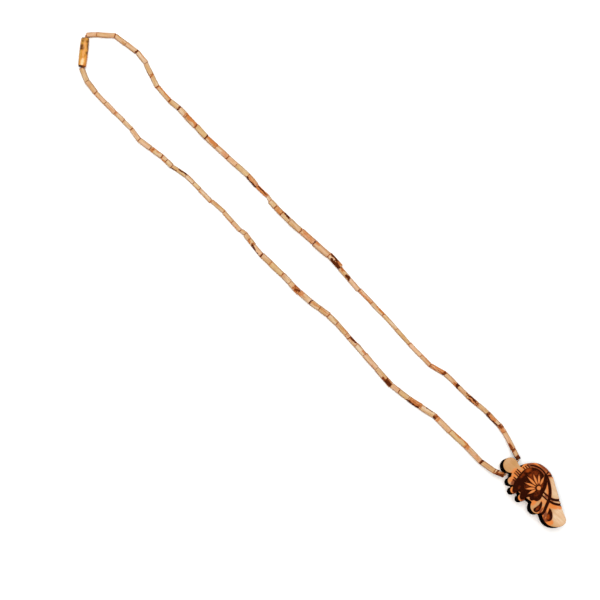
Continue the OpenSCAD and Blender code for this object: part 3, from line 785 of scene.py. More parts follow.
def build_barrel(settings):
    rng = np.random.default_rng(BARREL_SEED)
    barrel = read_turned(*solid("clasp_barrel"))
    length, base = axes_of(barrel.low, barrel.high)
    skin = (barrel.skin - barrel.low) @ base.T
    skin = skin[np.argsort(skin[:, 2])]
    body = np.linspace(BODY_START, length - BODY_START, BARREL_RINGS)
    run = np.concatenate([BARREL_RIM, body, length - BARREL_RIM[::-1]])
    radius = np.interp(run, skin[:, 2], np.hypot(skin[:, 0], skin[:, 1]))
    kernel = np.array([1, 3, 5, 3, 1]) / 13
    smooth = np.convolve(np.pad(radius, 2, mode="edge"), kernel, mode="valid")
    radius[1:-1] = smooth[1:-1]
    radius[[0, -1]] -= RIM_INSET
    ring = settings.ring / MM
    groove = smoothstep((run - GROOVE_START) / 0.1) * smoothstep((GROOVE_START + ring - run) / 0.1)
    turn = turns(BARREL_SIDES)
    wobble = dips(rng, turn[None], run[:, None] * 0.6, 0.03)
    shape = (radius - GROOVE * groove)[:, None] * (1 - wobble)
    height = np.broadcast_to(run[:, None], shape.shape)
    rings = np.stack([shape * np.cos(turn), shape * np.sin(turn), height], -1)
    local = with_ends(rings, barrel, base, BARREL_END)
    share = local[..., 2] / length
    degrees = np.degrees(np.arctan2(local[..., 1], local[..., 0])) % 360
    burnt = smoothstep((ring + 0.15 - local[..., 2]) / 0.12)
    burnt *= 0.75 + 0.25 * np.cos(np.radians(degrees - BURNT_SIDE))
    burnt[len(rings):] = np.maximum(burnt[len(rings):], HOLE_BURN)
    attributes = {
        "barrel_at": local,
        "burnt": burnt,
        "grey": smoothstep((share - 0.95) / 0.03) * smoothstep((degrees - 70) / 50),
    }
    for key in BLOTCHES:
        attributes[key] = strongest(blotch_masks(key, share, degrees))
    make_piece(
        "barrel_bead", barrel.low + local @ base, ring_faces(len(local), BARREL_SIDES),
        barrel_material(settings), ["clasp_barrel"], attributes,
        crease=50)


# Pendant


def plate_frame(places, triangles):
    """Origin and axes of the plate: u to the right, v up its face, w out of it."""
    normals, area = face_normals(places, triangles)
    facing = normals[:, 2] > 0.5
    biggest = normals[facing][np.argmax(area[facing])]
    same = normals @ biggest > 0.9999
    out = unit((normals[same] * area[same, None]).sum(0))
    over = np.array([0.0, 1.0, 0.0])
    axes = np.stack([unit(np.cross(over, out)), over, out])
    local = places @ axes.T
    high = local.max(0)
    middle_w = (local[:, 2].min() + high[2]) / 2
    start = np.array([high[0] - PLATE_RIGHT_U, high[1] - PLATE_TOP_V, middle_w])
    return start, axes, local - start


def flat_rim(places, triangles, level):
    """Sides round the flat part of the plate at a height w."""
    flat = (np.abs(places[triangles][:, :, 2] - level) < 1e-3).all(1)
    return open_sides(triangles[flat])


def segments(loop):
    """The starts and the ends of a closed outline's segments."""
    return loop, following(loop)


def spread(loop, step):
    """A closed outline with its places spread evenly, and its corners slightly softened."""
    closed = np.vstack([loop, loop[:1]])
    run = np.concatenate([[0], np.cumsum(np.linalg.norm(np.diff(closed, axis=0), axis=1))])
    even = np.linspace(0, run[-1], round(run[-1] / step), endpoint=False)
    line = np.stack([np.interp(even, run, closed[:, k]) for k in range(2)], 1)
    for _ in range(2):
        line = 0.5 * line + 0.25 * (np.roll(line, 1, 0) + following(line))
    return line


# How many places are compared with all segments at a time
BATCH = 4000


def distance_to(points, edges):
    """Distance from each point to the nearest of the segments."""
    starts, ends = edges
    best = np.full(len(points), 1e9)
    span = ends - starts
    size = np.maximum((span**2).sum(1), 1e-12)
    for k in range(0, len(points), BATCH):
        part = points[k : k + BATCH, None]
        t = np.clip(((part - starts) * span).sum(2) / size, 0, 1)
        off = part - starts - t[..., None] * span
        best[k : k + BATCH] = np.sqrt((off**2).sum(2).min(1))
    return best


def inside(points, edges):
    """Whether each point is inside the closed outlines that the segments form."""
    starts, ends = edges
    within = np.zeros(len(points), bool)
    rise = ends[:, 1] - starts[:, 1]
    rise = np.where(np.abs(rise) < 1e-12, 1e-12, rise)
    for k in range(0, len(points), BATCH):
        x, y = points[k : k + BATCH, 0, None], points[k : k + BATCH, 1, None]
        spans = (starts[:, 1] > y) != (ends[:, 1] > y)
        cross = starts[:, 0] + (y - starts[:, 1]) / rise * (ends[:, 0] - starts[:, 0])
        within[k : k + BATCH] = (spans & (cross > x)).sum(1) % 2 == 1
    return within


def patch_masks(name, u, v):
    """Each soft patch of one kind, over the places of the face."""
    for p in (Patch(*row) for row in PATCHES[name]):
        c, s = math.cos(math.radians(p.lean)), math.sin(math.radians(p.lean))
        du, dv = u - p.u, v - p.v
        away = np.hypot((du * c + dv * s) / p.reach_u, (dv * c - du * s) / p.reach_v)
        yield p.strength * smoothstep(1.5 - away)


class Plate:
    """The pendant's outline and grooves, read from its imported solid."""

    def __init__(self):
        places, triangles = solid("pendant")
        self.start, self.axes, local = plate_frame(places, triangles)
        levels, flat = local[:, 2], local[:, :2]
        self.half = levels.max()
        back, front = (flat_rim(local, triangles, w) for w in (-self.half, self.half))
        self.outline = segments(flat[loop_through(back)])
        self.top = flat[front[:, 0]], flat[front[:, 1]]
        inner = distance_to(sum(self.top) / 2, self.outline) > 0.02
        self.grooves = [side[inner] for side in self.top]
        below = (levels > 0) & (levels < self.half - 0.05)
        self.depth = self.half - levels[below].max()

    def engraved(self, points):
        """Whether each place of the face is cut down."""
        return inside(points, self.outline) & ~inside(points, self.top)

    def world(self, points):
        return (points + self.start) @ self.axes


def groove_feet(plate, step, wall):
    """Places along the foot of the grooves' slopes."""
    feet = []
    starts, ends = plate.grooves
    sizes = np.linalg.norm(ends - starts, axis=1)
    for a, d, size in zip(starts, ends - starts, sizes):
        if size < 1e-6:
            continue
        count = max(1, round(size / step))
        along = a + ((np.arange(count) + 0.5) / count)[:, None] * d
        side = np.array([-d[1], d[0]]) / size * wall
        feet += [along + side, along - side]
    feet = np.concatenate(feet)
    return feet[distance_to(feet, plate.grooves) > wall * 0.96]


def face_points(plate, outline, step, wall):
    """Places that the face's mesh passes through, apart from its outline."""
    low, high = outline.min(0), outline.max(0)
    u, v = np.meshgrid(np.arange(low[0], high[0], step), np.arange(low[1], high[1], step * 0.866))
    u = u + (np.arange(len(v)) % 2)[:, None] * step / 2
    grid = np.stack([u.ravel(), v.ravel()], 1)
    rim = segments(outline)
    grid = grid[inside(grid, rim)]
    grid = grid[distance_to(grid, rim) > step * 0.6]
    away = distance_to(grid, plate.grooves)
    grid = grid[(away > step * 0.45) & (np.abs(away - wall) > step * 0.4)]
    feet = groove_feet(plate, step, wall)
    feet = feet[plate.engraved(feet) & inside(feet, rim)]
    feet = feet[distance_to(feet, rim) > step * 0.4]
    feet = feet[np.unique(np.round(feet / (step * 0.4)), axis=0, return_index=True)[1]]
    return np.concatenate([grid, feet])


def triangulate(outline, more, up, edges=None):
    """A flat mesh inside the outline that passes through the places and edges, and faces one way."""
    count = len(outline)
    links = [(k, (k + 1) % count) for k in range(count)]
    points = [outline, more]
    if edges:
        joined, where = np.unique(np.round(np.vstack(edges), 4), axis=0, return_inverse=True)
        points.append(joined)
        starts, ends = (where.reshape(2, -1) + count + len(more)).tolist()
        links += [(a, b) for a, b in zip(starts, ends) if a != b]
    flat = [Vector(p) for p in np.concatenate(points)]
    out, _, faces, *_ = delaunay_2d_cdt(flat, links, [], 0, 1e-4, False)
    out, faces = np.array([tuple(p) for p in out]), np.array([list(f) for f in faces])
    faces = faces[inside(out[faces].mean(1), segments(outline))]
    a, b, c = (out[faces[:, k]] for k in range(3))
    area = (b[:, 0] - a[:, 0]) * (c[:, 1] - a[:, 1]) - (b[:, 1] - a[:, 1]) * (c[:, 0] - a[:, 0])
    wrong = area < 0 if up else area > 0
    faces[wrong] = faces[wrong][:, ::-1]
    return out, faces


def inward_of(loop):
    """Unit directions into a closed outline, at each of its places."""
    ahead = units(following(loop) - np.roll(loop, 1, 0))
    turned = np.stack([-ahead[:, 1], ahead[:, 0]], 1)
    after = following(loop)
    area = (loop[:, 0] * after[:, 1] - after[:, 0] * loop[:, 1]).sum()
    return turned if area > 0 else -turned


PLATE_SEED = 5
# Rounding of the plate's two rims in mm, the rows of places down its cut edge, the spacing of the
# places on its back and how far they keep from the outline
PLATE_RIM = 0.07
EDGE_ROWS = 14
BACK_STEP, BACK_MARGIN = 0.5, 0.3


def face_relief(rng, plate, uv, loop, inward, wall):
    """Height of each place of the face: grooves with rough floors, soft edges and worn wood."""
    probe = uv.copy()
    probe[loop] += inward * 0.06
    cut = plate.engraved(probe)
    away = distance_to(uv, plate.grooves)
    share = np.where(cut, smoothstep(away / wall), 0)
    rough = 0.05 * noise_field(rng, uv[:, 0], uv[:, 1], ((1.1, 0.5), (0.5, 0.35)))
    worn = 0.012 * noise_field(rng, uv[:, 0] * 2, uv[:, 1] * 0.5, ((2.5, 0.6), (1, 0.3)))
    lower = 0.03 * np.exp(-away / 0.07) + np.maximum(0, worn)
    return plate.half - share * (plate.depth - rough) - np.where(cut & (away > 1e-4), 0, lower)


def edge_rows(rng, plate, outline, inward, top_w, kerf):
    """Rows of places down the cut edge, with upright marks."""
    u, v = outline.T
    marks = noise_field(rng, u, v, ((0.45, 0.6), (0.9, 0.5), (0.28, 0.4)))
    low_w = PLATE_RIM - plate.half
    for t in np.linspace(0, 1, EDGE_ROWS):
        drift = noise_field(rng, u + 3 * t, v, ((2.2, 0.5),)) * 0.35
        depth = kerf * np.clip(0.5 + 0.5 * marks + drift * math.sin(math.pi * t), 0, 1)
        yield np.column_stack([outline + inward * depth[:, None], top_w + (low_w - top_w) * t])


def back_of_plate(plate, loop):
    """Places and triangles of the flat back inside its outline."""
    low, high = loop.min(0), loop.max(0)
    grid = np.meshgrid(*(np.arange(low[k], high[k], BACK_STEP) for k in range(2)))
    grid = np.reshape(grid, (2, -1)).T
    rim = segments(loop)
    grid = grid[inside(grid, rim)]
    grid = grid[distance_to(grid, rim) > BACK_MARGIN]
    uv, faces = triangulate(loop, grid, False)
    if len(uv) != len(loop) + len(grid):
        raise RuntimeError("the pendant's back outline crosses itself")
    return np.column_stack([uv, np.full(len(uv), -plate.half)]), faces


def build_plate_mesh(plate, settings):
    """Closed mesh of the engraved plate: face, upright walls with kerf marks, and back."""
    rng = np.random.default_rng(PLATE_SEED)
    step, wall, kerf = (x / MM for x in (settings.spacing, settings.wall, settings.kerf))
    outline = spread(plate.outline[0], step)
    more = face_points(plate, outline, step, wall)
    uv, face = triangulate(outline, more, True, plate.grooves)
    loop = loop_through(open_sides(face))
    inward = inward_of(uv[loop])
    w = face_relief(rng, plate, uv, loop, inward, wall)
    rows = list(edge_rows(rng, plate, uv[loop], inward, w[loop] - PLATE_RIM, kerf))
    uv[loop] += inward * PLATE_RIM
    back, back_faces = back_of_plate(plate, rows[-1][:, :2] + inward * PLATE_RIM)
    # One list of places: face, rows of the edge, back
    points = np.concatenate([np.column_stack([uv, w]), *rows, back])
    row, row_start = np.arange(len(loop)), len(uv)
    chain = [loop] + [row_start + k * len(loop) + row for k in range(EDGE_ROWS + 1)]
    faces = face.tolist() + (back_faces + chain[-1][0]).tolist()
    for a, b in zip(chain, chain[1:]):
        faces += np.stack([a, following(a), following(b), b], 1).tolist()
    return points, faces


# Radius of the neck hole in mm, and the sides and half length of the drill that cuts it
NECK_BORE_R = 0.65
DRILL_SIDES, DRILL_REACH = 40, 8.0


def drill(piece, plate):
    """Cuts the neck hole across the plate."""
    v, w = NECK_BORE_R * circle(turns(DRILL_SIDES)).T
    ends = [
        np.column_stack([np.full(DRILL_SIDES, u), NECK_BORE_V + v, w])
        for u in (-DRILL_REACH, DRILL_REACH)]
    caps = [list(range(DRILL_SIDES))[::-1], list(range(DRILL_SIDES, 2 * DRILL_SIDES))]
    faces = ring_faces(2, DRILL_SIDES, closed=False) + caps
    points = plate.world(np.concatenate(ends))
    drill_bit = add_object("neck_drill", new_mesh("neck_drill", points, faces))
    cutter = piece.modifiers.new("neck_hole", "BOOLEAN")
    cutter.operation, cutter.solver, cutter.object = "DIFFERENCE", "EXACT", drill_bit
    bpy.context.view_layer.update()
    shown = piece.evaluated_get(bpy.context.evaluated_depsgraph_get())
    drilled = bpy.data.meshes.new_from_object(shown)
    bpy.data.objects.remove(drill_bit)
    return drilled


def build_pendant(settings):
    plate = Plate()
    points, faces = build_plate_mesh(plate, settings)
    blank = add_object("plate_blank", new_mesh("plate_blank", plate.world(points), faces))
    drilled = drill(blank, plate)
    bpy.data.objects.remove(blank)
    world = places_of(drilled)
    faces = [list(p.vertices) for p in drilled.polygons]
    attributes = pendant_attributes(plate, world @ plate.axes.T - plate.start)
    make_piece(
        "engraved_pendant", world, faces, pendant_material(settings),
        ["pendant"], attributes, crease=35)


def pendant_attributes(plate, at):
    """Where each place of the plate is burnt, scorched or warm."""
    u, v, w = at.T
    rim = distance_to(at[:, :2], plate.outline)
    cut = plate.engraved(at[:, :2])
    away = distance_to(at[:, :2], plate.grooves)
    below = plate.half - w
    sunk = np.clip((below - 0.05) / (plate.depth - 0.1), 0, 1)
    sunk *= (below < plate.depth + 0.15) & (rim > 0.02)
    wall = smoothstep((0.09 - rim) / 0.03) * smoothstep((below - 0.02) / 0.05)
    wall *= smoothstep((w + plate.half - 0.02) / 0.05)
    bore = (np.hypot(v - NECK_BORE_V, w) < NECK_BORE_R + 0.01) & (np.abs(u) < 5)
    face_side = (w > 0).astype(float)
    groove_halo = face_side * np.exp(-away / 0.22)
    brown_halo = 0.75 * groove_halo**1.6 * np.where(v > COMB_LOW_V, 0.7, 1)
    edge_halo = np.exp(-rim / 0.2)
    masks = {key: strongest(patch_masks(key, u, v)) for key in PATCHES}
    orange = face_side * masks["orange"] + 0.5 * groove_halo + 0.5 * edge_halo
    brown = face_side * masks["brown"] + 0.35 * edge_halo + brown_halo
    return {
        "plate_at": at,
        "wall": np.maximum(wall, bore * 0.7),
        "sunk": sunk,
        "slope": sunk * smoothstep((0.2 - away) / 0.15) * cut,
        "orange": np.clip(orange, 0, 1),
        "brown": np.clip(brown, 0, 1),
        "pale": masks["pale"],
        "warm": masks["warm"],
    }


# Shader groups


def add(tree, kind, feeds=None, **settings):
    """A new node with its settings, and with values or links on its sockets."""
    node = tree.nodes.new(kind)
    for key, value in settings.items():
        setattr(node, key, value)
    for socket, value in (feeds or {}).items():
        feed(tree, node.inputs[socket], value)
    return node


def feed(tree, socket, value):
    """Puts a value on a socket, or links another socket to it."""
    if isinstance(value, bpy.types.NodeSocket):
        tree.links.new(value, socket)
    else:
        socket.default_value = value


def maths(tree, operation, a, b=0.0):
    return add(tree, "ShaderNodeMath", {0: a, 1: b}, operation=operation).outputs[0]


def times(tree, a, b):
    return maths(tree, "MULTIPLY", a, b)


def plus(tree, a, b):
    return maths(tree, "ADD", a, b)


def minus(tree, a, b):
    return maths(tree, "SUBTRACT", a, b)


def fade(tree, value, low, high, to_low=0.0, to_high=1.0):
    """The value, taken smoothly from one range to another."""
    feeds = {"Value": value, "From Min": low, "From Max": high, "To Min": to_low, "To Max": to_high}
    return add(tree, "ShaderNodeMapRange", feeds, interpolation_type="SMOOTHSTEP").outputs[0]


def mix(tree, share, a, b):
    return add(tree, "ShaderNodeMix", {0: share, 6: a, 7: b}, data_type="RGBA").outputs[2]


def tinted(tree, base, tints):
    """The base colour under its tints, each of a mask, its share and a screen colour."""
    for mask, share, colour in tints:
        base = mix(tree, times(tree, mask, share), base, linear(colour))
    return base


def attribute(tree, name, output="Fac"):
    return add(tree, "ShaderNodeAttribute", attribute_name=name).outputs[output]


def stretched(tree, vector, amounts):
    feeds = {0: vector, 1: amounts}
    return add(tree, "ShaderNodeVectorMath", feeds, operation="MULTIPLY").outputs[0]


def noise(tree, vector, stretch, seed, detail, rough, distortion=0.0):
    """Noise over the vector, which is stretched along each axis first."""
    feeds = {"Vector": stretched(tree, vector, stretch), "Scale": 1.0, "W": seed, "Detail": detail,
             "Roughness": rough, "Distortion": distortion}
    return add(tree, "ShaderNodeTexNoise", feeds, noise_dimensions="4D").outputs[0]


def new_group(name, numbers, results):
    """An empty shader group that takes a vector and numbers, and gives numbers."""
    tree = bpy.data.node_groups.new(name, "ShaderNodeTree")
    tree.interface.new_socket("Vector", in_out="INPUT", socket_type="NodeSocketVector")
    for label, default in numbers.items():
        socket = tree.interface.new_socket(label, in_out="INPUT", socket_type="NodeSocketFloat")
        socket.default_value = default
    for label in results:
        tree.interface.new_socket(label, in_out="OUTPUT", socket_type="NodeSocketFloat")
    return tree, tree.nodes.new("NodeGroupInput").outputs, tree.nodes.new("NodeGroupOutput").inputs


def grain_group():
    """Long streaks, fine fibres, blotches and pores of wood whose length runs along Z."""
    name = "Wood grain"
    if name in bpy.data.node_groups:
        return bpy.data.node_groups[name]
    tree, given, result = new_group(
        name, {"Seed": 0.0, "Fineness": 1.0}, ("Streaks", "Fibres", "Blotches", "Pores", "Height"))
    feeds = {0: given["Vector"], "Scale": given["Fineness"]}
    scaled = add(tree, "ShaderNodeVectorMath", feeds, operation="SCALE").outputs[0]
    seed = given["Seed"]
    streaks = noise(tree, scaled, (1.7, 1.7, 0.2), seed, 4, 0.6, 0.4)
    fibres = noise(tree, scaled, (9, 9, 0.55), seed, 3, 0.6, 0.3)
    blotches = noise(tree, scaled, (0.9, 0.9, 0.4), seed, 3, 0.5, 0.5)
    pores = fade(tree, noise(tree, scaled, (14, 14, 3.2), seed, 2, 0.5), 0.62, 0.72)
    raised = plus(tree, times(tree, fibres, 0.6), times(tree, streaks, 0.6))
    feed(tree, result["Streaks"], fade(tree, streaks, 0.34, 0.68))
    feed(tree, result["Fibres"], fade(tree, fibres, 0.5, 0.72))
    feed(tree, result["Blotches"], fade(tree, blotches, 0.36, 0.66))
    feed(tree, result["Pores"], pores)
    feed(tree, result["Height"], minus(tree, raised, times(tree, pores, 0.35)))
    return tree


def burn_group():
    """A burn whose edge is broken up by the grain, with an orange border round its char."""
    name = "Burn"
    if name in bpy.data.node_groups:
        return bpy.data.node_groups[name]
    numbers = {"Seed": 0.0, "Char": 0.0, "Scorch": 0.0, "Break-up": 0.5}
    tree, given, result = new_group(name, numbers, ("Char", "Scorch"))
    coarse = noise(tree, given["Vector"], (3.6, 3.6, 0.9), given["Seed"], 4, 0.65, 0.5)
    fine = noise(tree, given["Vector"], (11, 11, 1.6), given["Seed"], 3, 0.6, 0.2)
    both = plus(tree, times(tree, coarse, 0.65), times(tree, fine, 0.35))
    ragged = times(tree, times(tree, minus(tree, both, 0.5), 2.2), given["Break-up"])
    for key, low, high in (("Char", 0.22, 0.85), ("Scorch", 0.12, 0.9)):
        value = plus(tree, given[key], times(tree, ragged, fade(tree, given[key], 0, 0.3)))
        feed(tree, result[key], fade(tree, value, low, high))
    return tree


def grouped(tree, group, feeds):
    return add(tree, "ShaderNodeGroup", feeds, node_tree=group).outputs


# Materials


def new_material(name):
    material = bpy.data.materials.new(name)
    material.use_nodes = True
    tree = material.node_tree
    return material, tree, tree.nodes["Principled BSDF"]


def finish_with(tree, shader, colour, roughness, height, bump_strength, bump_mm, **more):
    """Feeds a surface's colour, roughness and bump to its shader, and what else it needs."""
    feeds = {"Strength": bump_strength, "Distance": bump_mm * MM, "Height": height}
    more["Normal"] = add(tree, "ShaderNodeBump", feeds).outputs[0]
    for label, value in {"Base Color": colour, "Roughness": roughness, **more}.items():
        feed(tree, shader.inputs[label.replace("_", " ")], value)


def twig_material(settings):
    name = "Twig wood"
    if name in bpy.data.materials:
        return bpy.data.materials[name]
    material, tree, shader = new_material(name)
    at, seed = attribute(tree, "twig_at", "Vector"), attribute(tree, "seed")
    grain = grouped(tree, grain_group(), {"Vector": at, "Seed": seed, "Fineness": 1.0})
    tan = linear(settings.tan)
    base = mix(tree, grain["Streaks"], linear(settings.pale), tan)
    base = mix(tree, fade(tree, attribute(tree, "tone"), 0, 1, 0.0, 0.45), base, tan)
    # The last tint here is painted shade on both flanks of each twig
    base = tinted(tree, base, (
        (attribute(tree, "blush"), 0.7, settings.blush),
        (attribute(tree, "straw"), 0.7, settings.straw),
        (grain["Blotches"], 0.35, (0.77, 0.63, 0.38)),
        (grain["Fibres"], 0.55, (0.57, 0.36, 0.18)),
        (grain["Pores"], 0.35, (0.42, 0.25, 0.13)),
        (attribute(tree, "flank_shade"), fade(tree, grain["Streaks"], 0, 1, 0.3, 0.75), (0.50, 0.34, 0.19))))
    # Cut ends: pale rings round the pith, darkened by the hot drill
    flat = stretched(tree, at, (1, 1, 0))
    radial = add(tree, "ShaderNodeVectorMath", {0: flat}, operation="LENGTH").outputs["Value"]
    rings = fade(tree, maths(tree, "SINE", times(tree, radial, 38)), -1, 1, 0.15, 0.6)
    end_colour = mix(tree, rings, linear((0.74, 0.55, 0.37)), linear((0.52, 0.33, 0.19)))
    base = mix(tree, fade(tree, attribute(tree, "cut"), 0.5, 1), base, end_colour)
    burn = grouped(tree, burn_group(), {
        "Vector": at, "Seed": seed, "Char": attribute(tree, "char"),
        "Scorch": attribute(tree, "amber"), "Break-up": 0.8})
    streaky = minus(tree, burn["Char"], times(tree, grain["Fibres"], 0.3))
    streaky = minus(tree, streaky, times(tree, grain["Streaks"], 0.25))
    base = tinted(tree, base, (
        (burn["Scorch"], 0.8, settings.scorch),
        (fade(tree, burn["Char"], 0.0, 0.5), 0.9, settings.singe),
        (fade(tree, streaky, 0.25, 0.85), 0.95, settings.char)))
    rough = fade(tree, grain["Streaks"], 0, 1, 0.55, 0.7)
    height = minus(tree, grain["Height"], times(tree, burn["Char"], 0.3))
    finish_with(tree, shader, base, rough, height, 0.7, 0.035, Specular_IOR_Level=0.02)
    return material


def thread_material(settings):
    material, tree, shader = new_material("Twisted cotton")
    around = attribute(tree, "around", "Vector")
    fuzz = noise(tree, around, (3, 3, 5), 3, 4, 0.7)
    strands = noise(tree, around, (9, 9, 0.8), 7, 2, 0.6)
    # Painted shade: each strand is light on its crown and shaded where it meets the next
    lit = fade(tree, attribute(tree, "lobe"), 0.1, 0.8)
    shade = times(tree, lit, fade(tree, fuzz, 0.2, 0.7, 0.6, 1))
    colour = mix(tree, shade, linear(settings.dark), linear(settings.light))
    colour = tinted(tree, colour, [(fade(tree, strands, 0.5, 0.75), 0.4, settings.dark)])
    rough = fade(tree, fuzz, 0.3, 0.7, 0.8, 0.95)
    height = plus(tree, strands, fuzz)
    finish_with(
        tree, shader, colour, rough, height, 0.6, 0.03, Sheen_Weight=0.25, Sheen_Roughness=0.5)
    return material


def barrel_material(settings):
    material, tree, shader = new_material("Barrel wood")
    at = attribute(tree, "barrel_at", "Vector")
    grain = grouped(tree, grain_group(), {"Vector": at, "Seed": 12.0, "Fineness": 0.8})
    cloud = noise(tree, at, (1.1, 1.1, 0.55), 31.0, 3, 0.5, 0.8)
    speckle = noise(tree, at, (2.6, 2.6, 1.6), 14.0, 4, 0.65, 0.6)
    patchy = fade(tree, speckle, 0.3, 0.6, 0.7, 1)
    base = mix(tree, fade(tree, cloud, 0.38, 0.66), linear(settings.amber), linear(settings.honey))
    # The first and the last of these tints are painted highlights on the top of the bead
    for key, share, colour in (
            ("painted_top_light", 0.8, (0.90, 0.64, 0.34)), ("olive", 0.8, (0.70, 0.54, 0.20)),
            ("ruddy", 0.8, (0.74, 0.40, 0.19)), ("pale", 1.0, (0.97, 0.83, 0.65))):
        base = tinted(tree, base, [(times(tree, attribute(tree, key), patchy), share, colour)])
    base = tinted(tree, base, (
        (grain["Streaks"], 0.3, (0.74, 0.43, 0.14)),
        (fade(tree, speckle, 0.52, 0.72), 0.4, (0.56, 0.33, 0.10)),
        (grain["Fibres"], 0.3, (0.55, 0.32, 0.12)),
        (attribute(tree, "blotch"), fade(tree, speckle, 0.3, 0.6, 0.75, 1.0), settings.umber),
        (attribute(tree, "grey"), 0.6, (0.36, 0.32, 0.24))))
    burnt = mix(tree, attribute(tree, "ruddy"), linear(settings.burnt), linear((0.50, 0.25, 0.08)))
    on_ring = fade(tree, attribute(tree, "burnt"), 0.3, 0.7)
    base = mix(tree, on_ring, base, burnt)
    rough = fade(tree, grain["Fibres"], 0, 1, 0.24, 0.36)
    finish_with(
        tree, shader, base, rough, grain["Height"], 0.35, 0.025, Specular_IOR_Level=0.08,
        Coat_Weight=fade(tree, on_ring, 0, 1, 0.12, 0.02), Coat_Roughness=0.2)
    return material


def pendant_material(settings):
    material, tree, shader = new_material("Burnt pendant wood")
    # The grain group runs along Z, and the plate's grain runs up its face
    parts = add(tree, "ShaderNodeSeparateXYZ", {0: attribute(tree, "plate_at", "Vector")}).outputs
    at = add(tree, "ShaderNodeCombineXYZ", {0: parts[0], 1: parts[2], 2: parts[1]}).outputs[0]
    grain = grouped(tree, grain_group(), {"Vector": at, "Seed": 5.0, "Fineness": 0.75})
    burn = grouped(tree, burn_group(), {
        "Vector": at, "Seed": 2.0, "Char": attribute(tree, "brown"),
        "Scorch": attribute(tree, "orange"), "Break-up": 0.5})
    face = mix(tree, attribute(tree, "pale"), linear(settings.face), linear(settings.pale))
    face = tinted(tree, face, (
        (grain["Streaks"], 0.4, settings.grain),
        (grain["Blotches"], 0.3, (0.80, 0.60, 0.44)),
        (grain["Fibres"], 0.35, (0.58, 0.38, 0.20)),
        (grain["Pores"], 0.3, (0.42, 0.26, 0.13)),
        (burn["Scorch"], 0.9, settings.orange),
        (burn["Char"], 0.9, settings.brown)))
    # Engraved floor: raster lines of the burner over mottled brown
    mottle = noise(tree, at, (1.7, 1.7, 1.7), 15.3, 4, 0.6, 0.6)
    scan = maths(tree, "SINE", times(tree, parts[1], 34.0))
    warm = plus(tree, attribute(tree, "warm"), fade(tree, mottle, 0.3, 0.75, -0.35, 0.45))
    floor = mix(tree, fade(tree, warm, 0.05, 0.95), linear(settings.floor), linear(settings.brown))
    floor = tinted(tree, floor, (
        (fade(tree, warm, 0.75, 1.5), 0.8, (0.62, 0.27, 0.07)),
        (fade(tree, scan, 0.2, 1), 0.35, (0.11, 0.04, 0.02)),
        (attribute(tree, "slope"), 0.8, (0.09, 0.03, 0.015))))
    sunk = attribute(tree, "sunk")
    colour = mix(tree, fade(tree, sunk, 0.08, 0.5), face, floor)
    # Cut edge: char with upright streaks of brown
    strips = noise(tree, at, (5, 0.35, 5), 6.0, 3, 0.6, 0.2)
    streaked = [(fade(tree, strips, 0.52, 0.8), 0.6, (0.14, 0.07, 0.045))]
    char = tinted(tree, linear(settings.char), streaked)
    wall = attribute(tree, "wall")
    colour = mix(tree, fade(tree, wall, 0.15, 0.6), colour, char)
    sunk_rough = fade(tree, sunk, 0.1, 0.6, 0.52, 0.72)
    rough = plus(tree, sunk_rough, times(tree, grain["Fibres"], 0.08))
    floor_height = plus(tree, times(tree, scan, 0.25), times(tree, mottle, 1.5))
    height = plus(tree, grain["Height"], times(tree, floor_height, sunk))
    height = plus(tree, height, times(tree, strips, times(tree, wall, 2.0)))
    # Only the sanded face has a gloss: char has none, even seen along its surface
    gloss = fade(tree, plus(tree, wall, sunk), 0, 0.5, 0.2, 0)
    finish_with(
        tree, shader, colour, rough, height, 0.6, 0.04, Coat_Weight=gloss, Coat_Roughness=0.45,
        Specular_IOR_Level=0)
    return material


def floor_material(settings):
    material, tree, shader = new_material("Pale floor")
    place = add(tree, "ShaderNodeTexCoord").outputs["Object"]
    speck = noise(tree, place, (30, 30, 30), 30.0, 2, 0.5)
    share = fade(tree, speck, 0.3, 0.7, 0, 0.03)
    feed(tree, shader.inputs["Base Color"], mix(tree, share, linear(settings.floor), (0.8, 0.8, 0.8, 1)))
    shader.inputs["Roughness"].default_value = 0.9
    shader.inputs["Specular IOR Level"].default_value = 0.1
    return material


# Stage

FLOOR_REACH = 2000
SENSOR_WIDTH = 36
# The lamps' places from the middle of the necklace and widths in metres, and shares of the power
LAMPS = {
    "key_light": ((0.25, 0.2, 1.2), 1.1, 1),
    "side_light": ((-0.7, -0.2, 1.1), 1.0, 0.25),
}


def build_stage(settings):
    """Plain floor, soft light from above and a camera that looks straight down, turned 45 degrees."""
    corners = [(x * FLOOR_REACH, y * FLOOR_REACH, 0) for x, y in ((-1, -1), (1, -1), (1, 1), (-1, 1))]
    mesh = new_mesh("floor", corners, [(0, 1, 2, 3)])
    mesh.materials.append(floor_material(settings))
    floor = add_object("floor", mesh)
    scene = bpy.context.scene
    world = bpy.data.worlds.new("Soft studio")
    world.use_nodes = True
    background = world.node_tree.nodes["Background"]
    background.inputs["Color"].default_value = (1, 1, 1, 1)
    background.inputs["Strength"].default_value = settings.fill
    scene.world = world
    scene.view_settings.view_transform = "Standard"
    middle = Vector((*(-CHART_MID * MM), 0))
    for name, (place, size, share) in LAMPS.items():
        light = bpy.data.lights.new(name, "AREA")
        light.shape, light.size, light.energy = "DISK", size, settings.key_power * share
        lamp = add_object(name, light)
        lamp.location = middle + Vector(place)
        lamp.rotation_euler = (-Vector(place)).to_track_quat("-Z", "Y").to_euler()
    data = bpy.data.cameras.new("camera")
    data.sensor_width = SENSOR_WIDTH
    data.lens = SENSOR_WIDTH * settings.distance / settings.view_width
    camera = add_object("camera", data)
    camera.location = middle + Vector((0, 0, settings.distance))
    camera.rotation_euler = (0, 0, math.radians(-45))
    scene.camera = camera


# Operators and panel


class BuildStage(bpy.types.Operator):
    """Adds the floor, the lights and the camera"""

    bl_idname = "bead_string.stage"
    bl_label = "Stage"

    def execute(self, context):
        build_stage(context.scene.bead_stage)
        return {"FINISHED"}


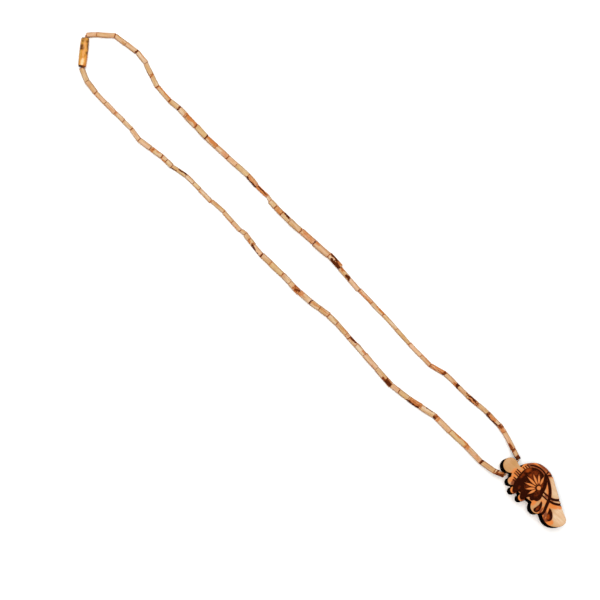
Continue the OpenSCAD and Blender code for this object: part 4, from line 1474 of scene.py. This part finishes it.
class BuildBeads(bpy.types.Operator):
    """Builds the twig beads of both strands"""

    bl_idname = "bead_string.beads"
    bl_label = "Twig beads"

    def execute(self, context):
        for strand in STRANDS:
            build_strand(*strand, context.scene.bead_twigs)
        return {"FINISHED"}


class BuildThread(bpy.types.Operator):
    """Builds the twisted thread that runs through every hole"""

    bl_idname = "bead_string.thread"
    bl_label = "Thread"

    def execute(self, context):
        build_thread(context.scene.bead_thread)
        return {"FINISHED"}


class BuildBarrel(bpy.types.Operator):
    """Builds the polished barrel bead"""

    bl_idname = "bead_string.barrel"
    bl_label = "Barrel bead"

    def execute(self, context):
        build_barrel(context.scene.bead_barrel)
        return {"FINISHED"}


class BuildPendant(bpy.types.Operator):
    """Builds the engraved wooden pendant"""

    bl_idname = "bead_string.pendant"
    bl_label = "Pendant"

    def execute(self, context):
        build_pendant(context.scene.bead_pendant)
        return {"FINISHED"}


class BeadPanel(bpy.types.Panel):
    """Lists the pieces of the bead string and their settings"""

    bl_idname = "VIEW3D_PT_bead_string"
    bl_label = "Bead string"
    bl_space_type = "VIEW_3D"
    bl_region_type = "UI"
    bl_category = "Bead string"

    def draw(self, context):
        for operator, group, _ in PIECES:
            box = self.layout.box()
            box.operator(operator.bl_idname)
            settings = getattr(context.scene, group)
            for key in settings.__annotations__:
                box.prop(settings, key)


PIECES = (
    (BuildStage, "bead_stage", StageSettings),
    (BuildBeads, "bead_twigs", BeadSettings),
    (BuildThread, "bead_thread", ThreadSettings),
    (BuildBarrel, "bead_barrel", BarrelSettings),
    (BuildPendant, "bead_pendant", PendantSettings),
)


def register():
    for operator, group, settings in PIECES:
        bpy.utils.register_class(settings)
        bpy.utils.register_class(operator)
        setattr(bpy.types.Scene, group, PointerProperty(type=settings))
    bpy.utils.register_class(BeadPanel)


def unregister():
    bpy.utils.unregister_class(BeadPanel)
    for operator, group, settings in reversed(PIECES):
        delattr(bpy.types.Scene, group)
        bpy.utils.unregister_class(operator)
        bpy.utils.unregister_class(settings)


def main():
    register()
    bpy.ops.bead_string.stage()
    bpy.ops.bead_string.beads()
    bpy.ops.bead_string.thread()
    bpy.ops.bead_string.barrel()
    bpy.ops.bead_string.pendant()


if __name__ == "__main__":
    main()
